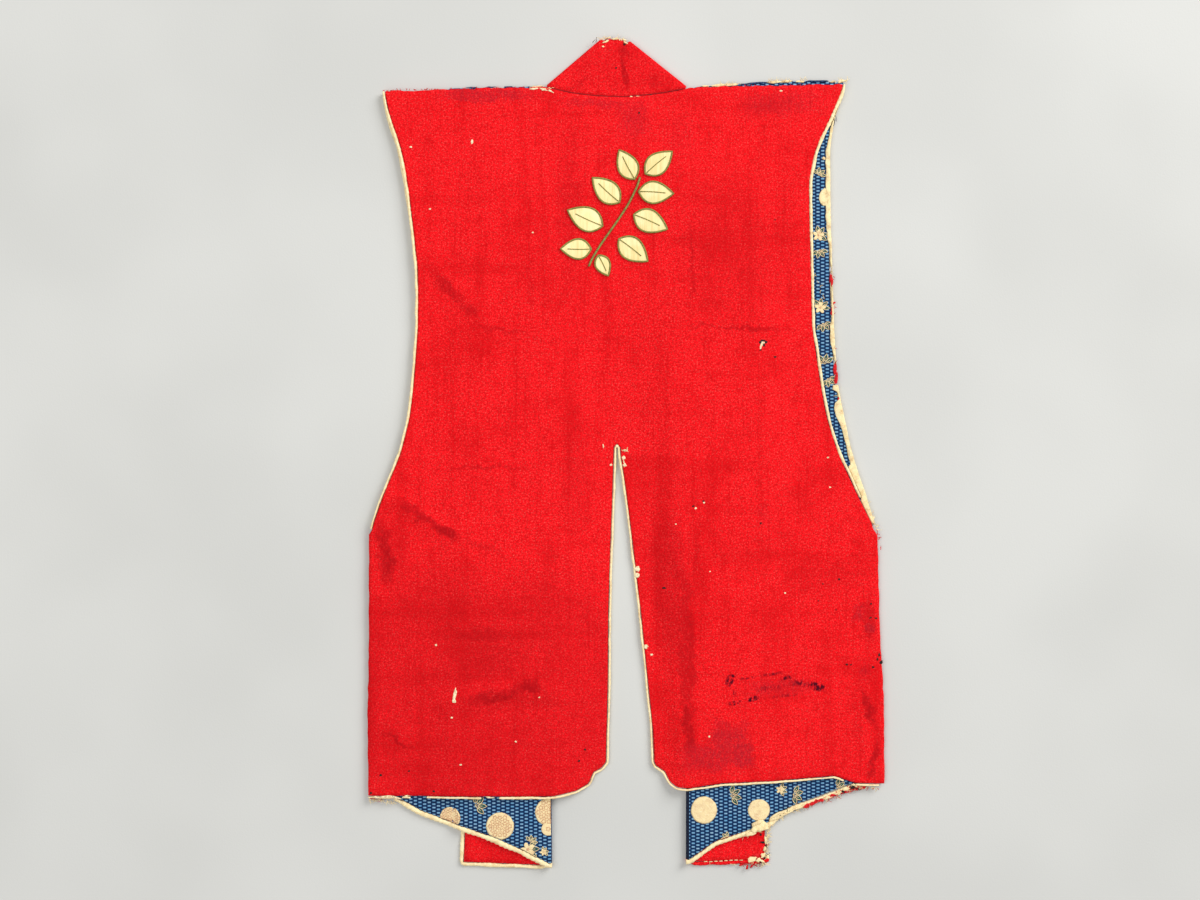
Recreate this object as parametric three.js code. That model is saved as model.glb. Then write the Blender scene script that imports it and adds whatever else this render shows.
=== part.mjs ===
// A jinbaori: a sleeveless wool coat, laid flat on its front with the lapels turned under.
//
// Millimetres, +Z up. The collar is towards +Y and the wearer's left is -X. The origin is
// on the floor under the middle of the garment. From the floor up lie each lapel (lining,
// then wool), each front (wool, then lining) and the back. Every piece of cloth is a wall
// round a grid of points, and every binding is a strip made from the edge points of the
// cloth that it binds, moved out.

import * as THREE from 'three';

// ---- Driving dimensions ------------------------------------------------------------------

const GAP = 0.3;                  // clearance between one piece and the next
const WOOL = 2.0;                 // one layer of felted wool
const LINING = 1.0;               // one layer of lining silk
const BACK_WALL = WOOL + LINING;  // the back, wool and lining in one wall
const COLLAR_WALL = 3.0;          // the collar, stiffened

const BINDING = 3.0;              // width of the binding round the back and the armholes
const HEM_BAND = 5.5;             // width of the band on the fronts' hems
const LAPEL_BAND = 4.4;           // width of the band round a lapel
const COLLAR_EDGE = 2.0;          // width of the worn edging on the collar
const PROUD = 0.4;                // how far the back's binding stands above its wool
const FLOOR_CLEAR = 0.1;          // how far a binding stays off the floor

const PANEL = WOOL + LINING + 2 * GAP;          // height of one front, or of one lapel
const FOLD_MIDDLE = PANEL - GAP / 2;            // height of the axis that a lapel turns round
const WOOL_TURN = PANEL + WOOL / 2 - FOLD_MIDDLE;
const LINING_TURN = PANEL + WOOL + GAP + LINING / 2 - FOLD_MIDDLE;
const FOLD_REACH = LINING_TURN + LINING / 2;    // from that axis out to the fold's edge
const INSET = GAP + BINDING;                    // from a bound edge in to its cloth
const SEAM_HEIGHT = WOOL + GAP;                 // where the back's wool meets a front's

const UNDERARM = -84;             // where an armhole ends and a side seam starts
const SEAM_START = -90;
const VENT_TOP = 13;              // top of the cut that makes the vent
const VENT_OPEN = 6;              // where the vent's bindings start
const CENTRE_BACK = -9.9;
const LAPEL_TOP = 300;            // upper end of each lapel
const LAPEL_SLOPE = 12;           // width over which a front drops off its lapel
const COLLAR_END = 190;           // lower ends of the collar, under the back
const SINK_START = 185;           // the back starts to sink between the fronts here
const SINK_END = 130;             // and has reached the floor here
const SIDE_MARGIN = 8;            // width over which the back closes down on a side seam
const LINING_SHORT = 9;           // how far a lining stops short of the side seam
const LINING_TAPER = -60;         // where it starts to draw back from the armhole's edge

// Heights at which a column's top and bottom are read from the tables of edges.
const SHOULDER_Y = 400;
const BACK_HEM_Y = -375;
const FRONT_HEM_Y = -400;
const LAPEL_HEM_Y = -450;

// Outline of the garment: x of each edge at a height y.
const OUTLINE = [
  { y: 400, backLeft: -269.5, frontLeft: -269.5, backRight: 242.0, frontRight: 243.0 },
  { y: 370, backLeft: -263.0, frontLeft: -264.5, backRight: 228.3, frontRight: 230.0 },
  { y: 335, backLeft: -250.5, frontLeft: -252.5, backRight: 212.0, frontRight: 225.0 },
  { y: 300, backLeft: -244.2, frontLeft: -246.0, backRight: 204.6, frontRight: 225.5 },
  { y: 260, backLeft: -238.7, frontLeft: -239.5, backRight: 205.2, frontRight: 225.5 },
  { y: 200, backLeft: -232.1, frontLeft: -231.0, backRight: 206.8, frontRight: 227.7 },
  { y: 140, backLeft: -232.1, frontLeft: -231.0, backRight: 207.9, frontRight: 229.4 },
  { y: 80, backLeft: -236.5, frontLeft: -235.5, backRight: 216.7, frontRight: 233.2 },
  { y: 40, backLeft: -240.9, frontLeft: -239.9, backRight: 223.9, frontRight: 240.4 },
  { y: 0, backLeft: -250.8, frontLeft: -249.8, backRight: 236.5, frontRight: 249.2 },
  { y: -45, backLeft: -269.5, frontLeft: -268.5, backRight: 257.4, frontRight: 264.0 },
  { y: -84, backLeft: -283.3, frontLeft: -283.3, backRight: 276.7, frontRight: 276.7 },
  { y: -200, backLeft: -283.0, frontLeft: -283.0, backRight: 280.0, frontRight: 280.0 },
  { y: -280, backLeft: -284.6, frontLeft: -284.6, backRight: 284.4, frontRight: 284.4 },
  { y: -385, backLeft: -284.0, frontLeft: -284.0, backRight: 284.6, frontRight: 284.6 },
];

// Upper edges: y of the back's and the fronts' shoulder and neck edges at x.
const SHOULDER = [
  { x: -269.5, back: 398.2, front: 398.4 },
  { x: -235.0, back: 399.0, front: 400.2 },
  { x: -160.0, back: 401.5, front: 403.0 },
  { x: -88.5, back: 402.6, front: 404.0 },
  { x: -85.8, back: 402.0, front: 404.0 },
  { x: -60.5, back: 396.0, front: 404.0 },
  { x: -31.9, back: 392.7, front: 404.0 },
  { x: -2.2, back: 391.6, front: 404.0 },
  { x: 23.1, back: 393.8, front: 404.0 },
  { x: 39.6, back: 396.0, front: 404.0 },
  { x: 61.5, back: 399.9, front: 404.0 },
  { x: 67.5, back: 401.2, front: 403.5 },
  { x: 90.0, back: 402.6, front: 404.5 },
  { x: 160.0, back: 404.3, front: 409.2 },
  { x: 200.0, back: 405.2, front: 410.2 },
  { x: 243.0, back: 406.0, front: 408.0 },
];

// The vent: x of each bound edge at a height y.
const VENT = [
  { y: 6, left: -11.6, right: -7.4 },
  { y: 0, left: -13.2, right: -5.5 },
  { y: -34, left: -14.6, right: -1.7 },
  { y: -76, left: -15.4, right: 3.6 },
  { y: -121, left: -17.6, right: 9.4 },
  { y: -184, left: -19.1, right: 16.5 },
  { y: -244, left: -18.8, right: 23.1 },
  { y: -300, left: -19.8, right: 27.5 },
  { y: -340, left: -20.7, right: 28.9 },
];

// Hems: y of the outer edge of the binding at x, with the stepped corners at the vent.
const BACK_HEM_LEFT = [
  { x: -284.0, y: -380.6 },
  { x: -80.3, y: -380.4 },
  { x: -55.0, y: -375.1 },
  { x: -40.7, y: -367.4 },
  { x: -36.3, y: -355.3 },
  { x: -27.5, y: -350.9 },
  { x: -20.7, y: -342.0 },
];
const BACK_HEM_RIGHT = [
  { x: 28.9, y: -337.0 },
  { x: 33.0, y: -347.6 },
  { x: 42.9, y: -354.2 },
  { x: 48.4, y: -365.2 },
  { x: 56.1, y: -370.7 },
  { x: 68.2, y: -371.8 },
  { x: 107.8, y: -365.8 },
  { x: 160.6, y: -363.7 },
  { x: 215.6, y: -358.6 },
  { x: 243.1, y: -365.2 },
  { x: 285.0, y: -367.4 },
];
const FRONT_HEM_LEFT = [
  { x: -284.0, y: -380.6 },
  { x: -260.0, y: -382.0 },
  { x: -244.2, y: -389.4 },
  { x: -226.6, y: -399.3 },
  { x: -191.4, y: -412.5 },
  { x: -147.4, y: -427.4 },
  { x: -112.2, y: -442.8 },
  { x: -81.4, y: -459.2 },
];
const FRONT_HEM_RIGHT = [
  { x: 66.0, y: -455.5 },
  { x: 81.4, y: -444.4 },
  { x: 97.9, y: -432.3 },
  { x: 128.7, y: -422.4 },
  { x: 154.0, y: -413.6 },
  { x: 181.5, y: -394.9 },
  { x: 215.6, y: -382.8 },
  { x: 245.3, y: -370.7 },
  { x: 285.0, y: -367.4 },
];

// Both sides of the garment: roll line of the lapel, lapel width and lapel hem.
const LEFT = {
  name: 'left', sign: -1, back: 'backLeft', front: 'frontLeft', vent: 'left',
  foldTop: -88.5, foldHem: -81.4, lapelTop: 62, lapelHem: 102.3, lapelHemY: -455.2,
  backHem: BACK_HEM_LEFT, frontHem: FRONT_HEM_LEFT,
};
const RIGHT = {
  name: 'right', sign: 1, back: 'backRight', front: 'frontRight', vent: 'right',
  foldTop: 67.5, foldHem: 66.0, lapelTop: 62, lapelHem: 87.5, lapelHemY: -452.5,
  backHem: BACK_HEM_RIGHT, frontHem: FRONT_HEM_RIGHT,
};
const FOLD_TOP_Y = 402;
const FOLD_HEM_Y = -456;

// How the back sinks from a fold into the space between the fronts: the share of the drop
// still left at a distance from the fold, over the collar and below it.
const SINK = [
  { from: 0, overCollar: 1, below: 1 },
  { from: 6, overCollar: 0.35, below: 0.87 },
  { from: 14, overCollar: 0, below: 0.3 },
  { from: 22, overCollar: 0, below: 0 },
];
const VENT_STEPS = [0.12, 0.48, 0.6, 0.82, 1];  // columns from there to the vent

// Largest folds of the back: soft ridges between two points.
const RIDGES = [
  { x1: -255, y1: -51, x2: -198, y2: -91, height: 2.6, width: 11 },
  { x1: -268, y1: -76, x2: -250, y2: -130, height: 1.4, width: 12 },
  { x1: -204, y1: 198, x2: -168, y2: 160, height: 1.6, width: 14 },
  { x1: -180, y1: -274, x2: -136, y2: -262, height: 2.4, width: 12 },
  { x1: -136, y1: -262, x2: -86, y2: -265, height: 2.2, width: 12 },
  { x1: -174, y1: -196, x2: -121, y2: -194, height: 1.4, width: 16 },
  { x1: 258, y1: -262, x2: 268, y2: -345, height: 2.2, width: 11 },
  { x1: 150, y1: 60, x2: 176, y2: -40, height: 1.2, width: 20 },
  { x1: 118, y1: -110, x2: 96, y2: -230, height: 1.6, width: 18 },
  { x1: 215, y1: -150, x2: 190, y2: -190, height: 1.3, width: 15 },
];

// The collar: its two slanted folds, from the neck to the upper edge.
const COLLAR_FOLDS = {
  left: { foot: [-85.8, 402.3], head: [-26.4, 454.0] },
  right: { foot: [65.1, 401.2], head: [2.4, 449.5] },
};
const COLLAR_RISE = 3.2;          // how far its upper edge arches above the two heads

// The applique sprig: a stem, and leaves by their middle, length, width and direction.
const LEAF_THICK = 1.0;
const LEAVES = [
  { x: 36, y: 319, long: 40, wide: 24, turn: 40 },
  { x: 1, y: 317, long: 38, wide: 23, turn: 118 },
  { x: 33, y: 286, long: 40, wide: 25, turn: -4 },
  { x: -22, y: 289, long: 42, wide: 25, turn: 138 },
  { x: 27, y: 254, long: 42, wide: 26, turn: -24 },
  { x: -45, y: 258, long: 44, wide: 27, turn: 156 },
  { x: 8, y: 223, long: 42, wide: 26, turn: -38 },
  { x: -55, y: 224, long: 35, wide: 23, turn: 180 },
  { x: -25, y: 206, long: 26, wide: 17, turn: -64 },
];
const STEM = [
  { x: -42, y: 205 },
  { x: -30, y: 226 },
  { x: -13, y: 250 },
  { x: 2, y: 272 },
  { x: 12, y: 292 },
  { x: 16, y: 303 },
];
const STEM_WIDE = 2.4;

// ---- Materials ---------------------------------------------------------------------------

const SCARLET_WOOL = new THREE.MeshStandardMaterial({ color: 0xd8141f, roughness: 0.95 });
const BLUE_SILK = new THREE.MeshStandardMaterial({ color: 0x1f4f86, roughness: 0.7 });
const CREAM_BINDING = new THREE.MeshStandardMaterial({ color: 0xeedcae, roughness: 0.85 });
const CREAM_APPLIQUE = new THREE.MeshStandardMaterial({ color: 0xe9d99a, roughness: 0.8 });
const OLIVE_CORD = new THREE.MeshStandardMaterial({ color: 0x8c8a45, roughness: 0.8 });

// ---- Reading the tables ------------------------------------------------------------------

const clamp = (value) => Math.min(1, Math.max(0, value));
const mix = (a, b, t) => a + (b - a) * t;

/** Straight-line reading of column `value` in `table`, whose column `key` runs one way. */
function read(table, key, value, at) {
  const rising = table[0][key] < table[table.length - 1][key];
  const rows = rising ? table : [...table].reverse();
  let i = 1;
  while (i < rows.length - 1 && rows[i][key] < at) {
    i += 1;
  }
  const t = clamp((at - rows[i - 1][key]) / (rows[i][key] - rows[i - 1][key]));
  return mix(rows[i - 1][value], rows[i][value], t);
}

/** The same reading with the corners between the rows rounded off. */
function readSmooth(table, key, value, at) {
  const reach = 9;
  const sides = read(table, key, value, at - reach) + read(table, key, value, at + reach);
  return (sides + 2 * read(table, key, value, at)) / 4;
}

const foldX = (side, y) =>
  mix(side.foldHem, side.foldTop, clamp((y - FOLD_HEM_Y) / (FOLD_TOP_Y - FOLD_HEM_Y)));

const lapelX = (side, y) => {
  const top = foldX(side, LAPEL_TOP) + side.sign * side.lapelTop;
  const hem = side.foldHem + side.sign * side.lapelHem;
  return mix(hem, top, (y - FOLD_HEM_Y) / (LAPEL_TOP - FOLD_HEM_Y));
};

const slopeX = (side, y) => lapelX(side, y) + side.sign * LAPEL_SLOPE;

const edgeX = (column, y) => readSmooth(OUTLINE, 'y', column, y);

const isBesideSeam = (y) => y < SEAM_START + 1;
const isBesideArmhole = (y) => y > UNDERARM - 1;

/** How far the lapel below lifts a front at (x, y). */
function lapelLift(side, x, y) {
  const across = clamp((side.sign * (slopeX(side, y) - x)) / LAPEL_SLOPE);
  const down = clamp((LAPEL_TOP + LAPEL_SLOPE - y) / LAPEL_SLOPE);
  return PANEL * across * down;
}

/** Sum of the soft ridges at (x, y). */
function ridges(x, y) {
  let sum = 0;
  for (const { x1, y1, x2, y2, height, width } of RIDGES) {
    const length2 = (x2 - x1) ** 2 + (y2 - y1) ** 2;
    const t = clamp(((x - x1) * (x2 - x1) + (y - y1) * (y2 - y1)) / length2);
    const away = Math.hypot(x - mix(x1, x2, t), y - mix(y1, y2, t));
    sum += height * Math.exp(-((away / width) ** 2));
  }
  return sum;
}

/** Height of the back's underside at (x, y). */
function backUnderside(side, x, y) {
  const inside = side.sign * (foldX(side, y) - x);
  if (inside <= 0) {
    const toEdge = side.sign * (edgeX(side.back, y) - x);
    const closing = y < SEAM_START - 1 ? 1 - clamp(toEdge / SIDE_MARGIN) : 0;
    return PANEL + lapelLift(side, x, y) + ridges(x, y) - closing * (PANEL - SEAM_HEIGHT);
  }
  const sunk = clamp((SINK_START - y) / (SINK_START - SINK_END));
  const left = mix(
    read(SINK, 'from', 'overCollar', inside),
    read(SINK, 'from', 'below', inside),
    sunk,
  );
  const rest = mix(PANEL, 0, sunk);
  const stack = PANEL + lapelLift(side, foldX(side, y), y);
  return mix(rest, stack, left) + ridges(x, y);
}

// ---- Making the solids -------------------------------------------------------------------

/** A closed solid from a list of triangles, each three points. */
function closedGeometry(triangles) {
  const numbers = new Map();
  const positions = [];
  const number = (p) => {
    const key = p.map((c) => Math.round(c * 1e4)).join();
    if (!numbers.has(key)) {
      numbers.set(key, positions.length / 3);
      positions.push(...p);
    }
    return numbers.get(key);
  };
  const index = [];
  for (const triangle of triangles) {
    const [a, b, c] = triangle.map(number);
    if (a !== b && b !== c && c !== a) {
      index.push(a, b, c);
    }
  }
  const geometry = new THREE.BufferGeometry();
  geometry.setAttribute('position', new THREE.Float32BufferAttribute(positions, 3));
  geometry.setIndex(index);
  geometry.computeVertexNormals();
  return geometry;
}

const quad = (a, b, c, d) => [[a, b, c], [a, c, d]];

/**
 * A wall of cloth round a grid of points. `grid` is rows of { p, n }: a point in the middle
 * of the wall and the direction of its upper face, or null where the cloth is cut away.
 * Edges that two cells share, also across a seam of the grid, are inside the cloth.
 */
function wall(grid, thickness, skip = () => false) {
  const face = (v, half) => v.p.map((c, i) => c + v.n[i] * half);
  const upper = (v) => face(v, thickness / 2);
  const lower = (v) => face(v, -thickness / 2);
  const name = (v) => v.p.map((c) => c.toFixed(3)).join();
  const cells = [];
  for (let r = 0; r + 1 < grid.length; r += 1) {
    for (let c = 0; c + 1 < grid[r].length; c += 1) {
      const cell = [grid[r][c], grid[r + 1][c], grid[r + 1][c + 1], grid[r][c + 1]];
      if (!cell.includes(null) && !skip(r, c)) {
        cells.push(cell);
      }
    }
  }
  const edges = new Map();
  for (const cell of cells) {
    cell.forEach((v, i) => edges.set(`${name(v)}>${name(cell[(i + 1) % 4])}`, true));
  }
  const triangles = [];
  for (const cell of cells) {
    triangles.push(...quad(...cell.map(upper)));
    triangles.push(...quad(...cell.map(lower)).map(([a, b, c]) => [a, c, b]));
    cell.forEach((v, i) => {
      const w = cell[(i + 1) % 4];
      if (name(v) !== name(w) && !edges.has(`${name(w)}>${name(v)}`)) {
        triangles.push(...quad(lower(v), lower(w), upper(w), upper(v)));
      }
    });
  }
  return closedGeometry(triangles);
}

// Section of a binding: across its width, and up its height.
const BINDING_SECTION = [
  [0, 0.12], [0.5, 0], [1, 0.25], [1, 0.78], [0.5, 1], [0, 0.88],
];

/**
 * A strip along the edge points { x, y, low, high } of a cloth, on the right-hand side of
 * their direction, `width` wide and the gap away from the cloth.
 */
function strip(edge, width) {
  const rings = edge.map((point, i) => {
    const before = edge[Math.max(0, i - 1)];
    const after = edge[Math.min(edge.length - 1, i + 1)];
    const first = i > 0 ? rightOf(before, point) : rightOf(point, after);
    const second = i < edge.length - 1 ? rightOf(point, after) : first;
    const sum = [first[0] + second[0], first[1] + second[1]];
    const stretch = Math.min(1.6, 2 / Math.max(0.5, Math.hypot(...sum)));
    const out = sum.map((c) => (c / Math.hypot(...sum)) * stretch);
    return BINDING_SECTION.map(([across, up]) => [
      point.x + out[0] * (GAP + across * width),
      point.y + out[1] * (GAP + across * width),
      mix(point.low, point.high, up),
    ]);
  });
  return loft(rings);
}

function rightOf(a, b) {
  const length = Math.hypot(b.x - a.x, b.y - a.y);
  return [(b.y - a.y) / length, -(b.x - a.x) / length];
}

/** A closed solid through rings of points, with flat ends, its faces pointing out. */
function loft(rings) {
  const triangles = [];
  const count = rings[0].length;
  for (let i = 0; i + 1 < rings.length; i += 1) {
    for (let j = 0; j < count; j += 1) {
      const k = (j + 1) % count;
      triangles.push(...quad(rings[i][j], rings[i][k], rings[i + 1][k], rings[i + 1][j]));
    }
  }
  for (let j = 1; j + 1 < count; j += 1) {
    triangles.push([rings[0][0], rings[0][j + 1], rings[0][j]]);
    const end = rings[rings.length - 1];
    triangles.push([end[0], end[j], end[j + 1]]);
  }
  const turned = volume(triangles) < 0;
  return closedGeometry(turned ? triangles.map(([a, b, c]) => [a, c, b]) : triangles);
}

function volume(triangles) {
  const a = new THREE.Vector3();
  const b = new THREE.Vector3();
  const c = new THREE.Vector3();
  let sum = 0;
  for (const triangle of triangles) {
    [a, b, c].forEach((v, i) => v.fromArray(triangle[i]));
    sum += a.dot(b.cross(c)) / 6;
  }
  return sum;
}

// ---- The back ----------------------------------------------------------------------------

/** Heights of a column's rows, from its top through the stops to its bottom. */
function rowHeights(top, bottom, stops) {
  const heights = [top];
  for (const { to, rows } of stops) {
    const start = heights[heights.length - 1];
    for (let i = 1; i <= rows; i += 1) {
      heights.push(mix(start, to ?? bottom, i / rows));
    }
  }
  return heights;
}

const BACK_STOPS = [
  { to: LAPEL_TOP + LAPEL_SLOPE, rows: 3 },
  { to: LAPEL_TOP, rows: 1 },
  { to: SINK_START, rows: 4 },
  { to: SINK_END, rows: 2 },
  { to: VENT_TOP, rows: 4 },
  { to: VENT_OPEN, rows: 1 },
  { to: UNDERARM, rows: 3 },
  { to: SEAM_START, rows: 1 },
  { to: null, rows: 10 },
];
const VENT_TOP_ROW = 14;


/** The lines, each x by y, that the back's columns of points follow on one side. */
function backLines(side) {
  const { sign } = side;
  const inward = -sign;
  const bound = (y) => (isBesideSeam(y) ? 0 : INSET);
  const outer = (y) => edgeX(side.back, y) + inward * bound(y);
  const margin = (y) => edgeX(side.back, y) + inward * SIDE_MARGIN;
  const centre = (y) =>
    (y >= VENT_TOP - 1 ? CENTRE_BACK : readSmooth(VENT, 'y', side.vent, y) + sign * INSET);
  const lines = [outer, margin];
  for (const t of [0.25, 0.5, 0.75, 1]) {
    lines.push((y) => mix(margin(y), slopeX(side, y), t));
  }
  for (const t of [0, 0.34, 0.67, 1]) {
    lines.push((y) => mix(lapelX(side, y), foldX(side, y), t));
  }
  for (const { from } of SINK.slice(1)) {
    lines.push((y) => foldX(side, y) + inward * from);
  }
  const last = SINK[SINK.length - 1].from;
  for (const t of VENT_STEPS) {
    lines.push((y) => mix(foldX(side, y) + inward * last, centre(y), t));
  }
  return lines;
}

/** Points on the middle of the back, one side, rows of columns from the outer edge in. */
function backHalf(side) {
  const hem = (x) => read(side.backHem, 'x', 'y', x) + INSET;
  const columns = backLines(side).map((line) => {
    const top = read(SHOULDER, 'x', 'back', line(SHOULDER_Y));
    const bottom = hem(line(BACK_HEM_Y));
    return rowHeights(top, bottom, BACK_STOPS).map((y) => {
      const x = line(y);
      return { p: [x, y, backUnderside(side, x, y) + BACK_WALL / 2], n: [0, 0, 1] };
    });
  });
  return columns;
}

const backLeft = backHalf(LEFT);
const backRight = backHalf(RIGHT);

function makeBack() {
  const columns = [...backLeft, ...[...backRight].reverse()];
  const rows = backLeft[0].map((_, r) => columns.map((column) => column[r]));
  const seam = backLeft.length - 1;
  return wall(rows, BACK_WALL, (r, c) => c === seam);
}

const bindingPoint = ({ p }) => ({
  x: p[0],
  y: p[1],
  low: p[2] - BACK_WALL / 2,
  high: p[2] + BACK_WALL / 2 + PROUD,
});

/** Strip points in the order that puts their right-hand side outside the garment. */
const outward = (side, points) => (side.sign < 0 ? points : [...points].reverse());

/** Binding that runs down one side of the vent and out along the hem. */
function makeHemBinding(side, columns) {
  const inner = columns[columns.length - 1].slice(VENT_TOP_ROW + 1);
  const hem = columns.map((column) => column[column.length - 1]).reverse().slice(1);
  const points = [...inner, ...hem].map(bindingPoint);
  return strip(outward(side, points).reverse(), BINDING);
}

/** Binding of the back's edge at one armhole. */
function makeArmholeBinding(side, columns) {
  const points = columns[0].filter(({ p }) => isBesideArmhole(p[1])).map(bindingPoint);
  return strip(outward(side, points), BINDING);
}

// ---- Fronts, lapels and their lining -----------------------------------------------------

const FRONT_STOPS = [
  { to: LAPEL_TOP + LAPEL_SLOPE, rows: 3 },
  { to: LAPEL_TOP, rows: 1 },
  { to: UNDERARM, rows: 10 },
  { to: SEAM_START, rows: 1 },
  { to: null, rows: 5 },
];
const LAPEL_TOP_ROW = 4;
const FOLD_TURNS = [0.25, 0.5, 0.75, 1];

/** What differs between a front's wool and its lining. */
const WOOL_LAYER = {
  thickness: WOOL, turn: WOOL_TURN, height: WOOL / 2, sideShort: 0, topShort: 1.5, hemShort: 0,
};
const LINING_LAYER = {
  thickness: LINING,
  turn: LINING_TURN,
  height: WOOL + GAP + LINING / 2,
  sideShort: LINING_SHORT,
  topShort: 0,
  hemShort: 2,
};

/** Columns of points of one front, from its outer edge over the fold to the lapel's edge. */
function frontColumns(side, layer) {
  const { sign } = side;
  const axis = (y) => foldX(side, y) + sign * FOLD_REACH;
  const short = (y) => {
    const taper = clamp((LINING_TAPER - y) / (LINING_TAPER - UNDERARM));
    return isBesideSeam(y) ? layer.sideShort : Math.max(INSET, layer.sideShort * taper);
  };
  const outer = (y) => edgeX(side.front, y) - sign * short(y);
  const hem = (x) => read(side.frontHem, 'x', 'y', x) + GAP + HEM_BAND + layer.hemShort;
  const lapelHem = (x) => {
    const t = clamp((x - side.foldHem) / (sign * side.lapelHem));
    return mix(side.frontHem[sign < 0 ? side.frontHem.length - 1 : 0].y, side.lapelHemY, t)
      + GAP + LAPEL_BAND + layer.hemShort;
  };
  const top = (x) => read(SHOULDER, 'x', 'front', x) - layer.topShort;

  const flat = (line) => ({
    heights: rowHeights(top(line(SHOULDER_Y)), hem(line(FRONT_HEM_Y)), FRONT_STOPS),
    point: (y) => {
      const x = line(y);
      return { p: [x, y, lapelLift(side, x, y) + layer.height], n: [0, 0, 1] };
    },
  });
  const turned = (turn) => ({
    heights: rowHeights(top(axis(SHOULDER_Y)), hem(axis(LAPEL_HEM_Y)), FRONT_STOPS),
    point: (y) => {
      const out = -sign * Math.sin(turn * Math.PI);
      const up = Math.cos(turn * Math.PI);
      const x = axis(y) + layer.turn * out;
      return { p: [x, y, FOLD_MIDDLE + layer.turn * up], n: [out, 0, up] };
    },
  });
  const under = (line) => ({
    heights: rowHeights(top(axis(SHOULDER_Y)), lapelHem(line(LAPEL_HEM_Y)), FRONT_STOPS),
    point: (y) => ({ p: [line(y), y, FOLD_MIDDLE - layer.turn], n: [0, 0, -1] }),
  });

  const lapelEdge = (y) => lapelX(side, y) - sign * (GAP + LAPEL_BAND);
  const columns = [];
  for (const t of [0, 0.34, 0.67, 1]) {
    columns.push(flat((y) => mix(outer(y), slopeX(side, y), t)));
  }
  for (const t of [0, 0.34, 0.67, 1]) {
    columns.push(flat((y) => mix(lapelX(side, y), axis(y), t)));
  }
  const flats = columns.length;
  for (const turn of FOLD_TURNS) {
    columns.push(turned(turn));
  }
  for (const t of [0.34, 0.67, 1]) {
    columns.push(under((y) => mix(axis(y), lapelEdge(y), t)));
  }
  return columns.map(({ heights, point }, c) =>
    heights.map((y, r) => (c >= flats && r < LAPEL_TOP_ROW ? null : point(y))));
}

function makeFront(side, layer) {
  const columns = frontColumns(side, layer);
  const ordered = side.sign < 0 ? columns : [...columns].reverse();
  const rows = columns[0].map((_, r) => ordered.map((column) => column[r]));
  return wall(rows, layer.thickness);
}

const FLAT_COLUMNS = 8;
const frontTopOf = (p) => p[2] - WOOL / 2 + WOOL + GAP + LINING;

const frontPoint = ({ p }) => ({
  x: p[0],
  y: p[1],
  low: p[2] - WOOL / 2 + FLOOR_CLEAR,
  high: frontTopOf(p),
});

/** Binding of a front's edge at the armhole, over wool and lining. */
function makeFrontBinding(side) {
  const [outer] = frontColumns(side, WOOL_LAYER);
  const points = outer.filter(({ p }) => isBesideArmhole(p[1])).map(frontPoint);
  return strip(outward(side, points), BINDING);
}

/** Band along a front's slanted hem, from the side seam to the fold. */
function makeHemBand(side) {
  const columns = frontColumns(side, WOOL_LAYER).slice(0, FLAT_COLUMNS);
  const points = columns.map((column) => frontPoint(column[column.length - 1]));
  const start = LINING_SHORT / Math.abs(points[1].x - points[0].x);
  points[0].x = mix(points[0].x, points[1].x, start);
  points[0].y = mix(points[0].y, points[1].y, start);
  const last = points[points.length - 1];
  points.push({ ...last, x: last.x - side.sign * FOLD_REACH });
  return strip(outward(side, points), HEM_BAND);
}

/** Band round a lapel: along its hem and up its edge. */
function makeLapelBand(side) {
  const columns = frontColumns(side, WOOL_LAYER).slice(FLAT_COLUMNS + FOLD_TURNS.length - 1);
  const edge = columns[columns.length - 1].slice(LAPEL_TOP_ROW);
  const hem = columns.map((column) => column[column.length - 1]).slice(0, -1);
  const points = [...hem, ...[...edge].reverse()].map(({ p }) => ({
    x: p[0],
    y: p[1],
    low: FLOOR_CLEAR,
    high: PANEL - GAP,
  }));
  points.unshift({ ...points[0], x: points[0].x - side.sign * FOLD_REACH });
  return strip(outward(side, points).reverse(), LAPEL_BAND);
}

// ---- The collar --------------------------------------------------------------------------

const COLLAR_ROWS = [0, 0.25, 0.5, 0.75, 1];
const COLLAR_EDGE_STOPS = [0.08, 0.3, 0.5, 0.7, 0.92];  // shares of the way across its top
const COLLAR_LEVEL = PANEL + COLLAR_WALL / 2;        // middle of its upper layer
const COLLAR_TURN = (COLLAR_LEVEL - COLLAR_WALL / 2) / 2;
const COLLAR_AXIS = COLLAR_WALL / 2 + COLLAR_TURN;   // height of the folds' axis

/** Points of the collar on one side for one row, from the fold to its end under the back. */
function collarUnder(fold, t) {
  const [x, y] = [0, 1].map((i) => mix(fold.foot[i], fold.head[i], t));
  const along = [fold.head[0] - fold.foot[0], fold.head[1] - fold.foot[1]];
  const length = Math.hypot(...along);
  const sign = Math.sign(fold.foot[0] - fold.head[0]);
  const out = [(sign * along[1]) / length, (-sign * along[0]) / length];
  const points = FOLD_TURNS.map((turn) => {
    const reach = Math.sin(turn * Math.PI);
    const up = Math.cos(turn * Math.PI);
    return {
      p: [
        x + out[0] * COLLAR_TURN * reach,
        y + out[1] * COLLAR_TURN * reach,
        COLLAR_AXIS + COLLAR_TURN * up,
      ],
      n: [out[0] * reach, out[1] * reach, up],
    };
  });
  for (const share of [0.25, 0.5, 0.75, 1]) {
    points.push({
      p: [x, mix(y, COLLAR_END, share), COLLAR_AXIS - COLLAR_TURN],
      n: [0, 0, -1],
    });
  }
  return points;
}

function collarTop(t) {
  const { left, right } = COLLAR_FOLDS;
  return [0, 1].map((i) => mix(left.head[i], right.head[i], t))
    .map((c, i) => (i === 1 ? c + COLLAR_RISE * 4 * t * (1 - t) : c));
}

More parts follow.
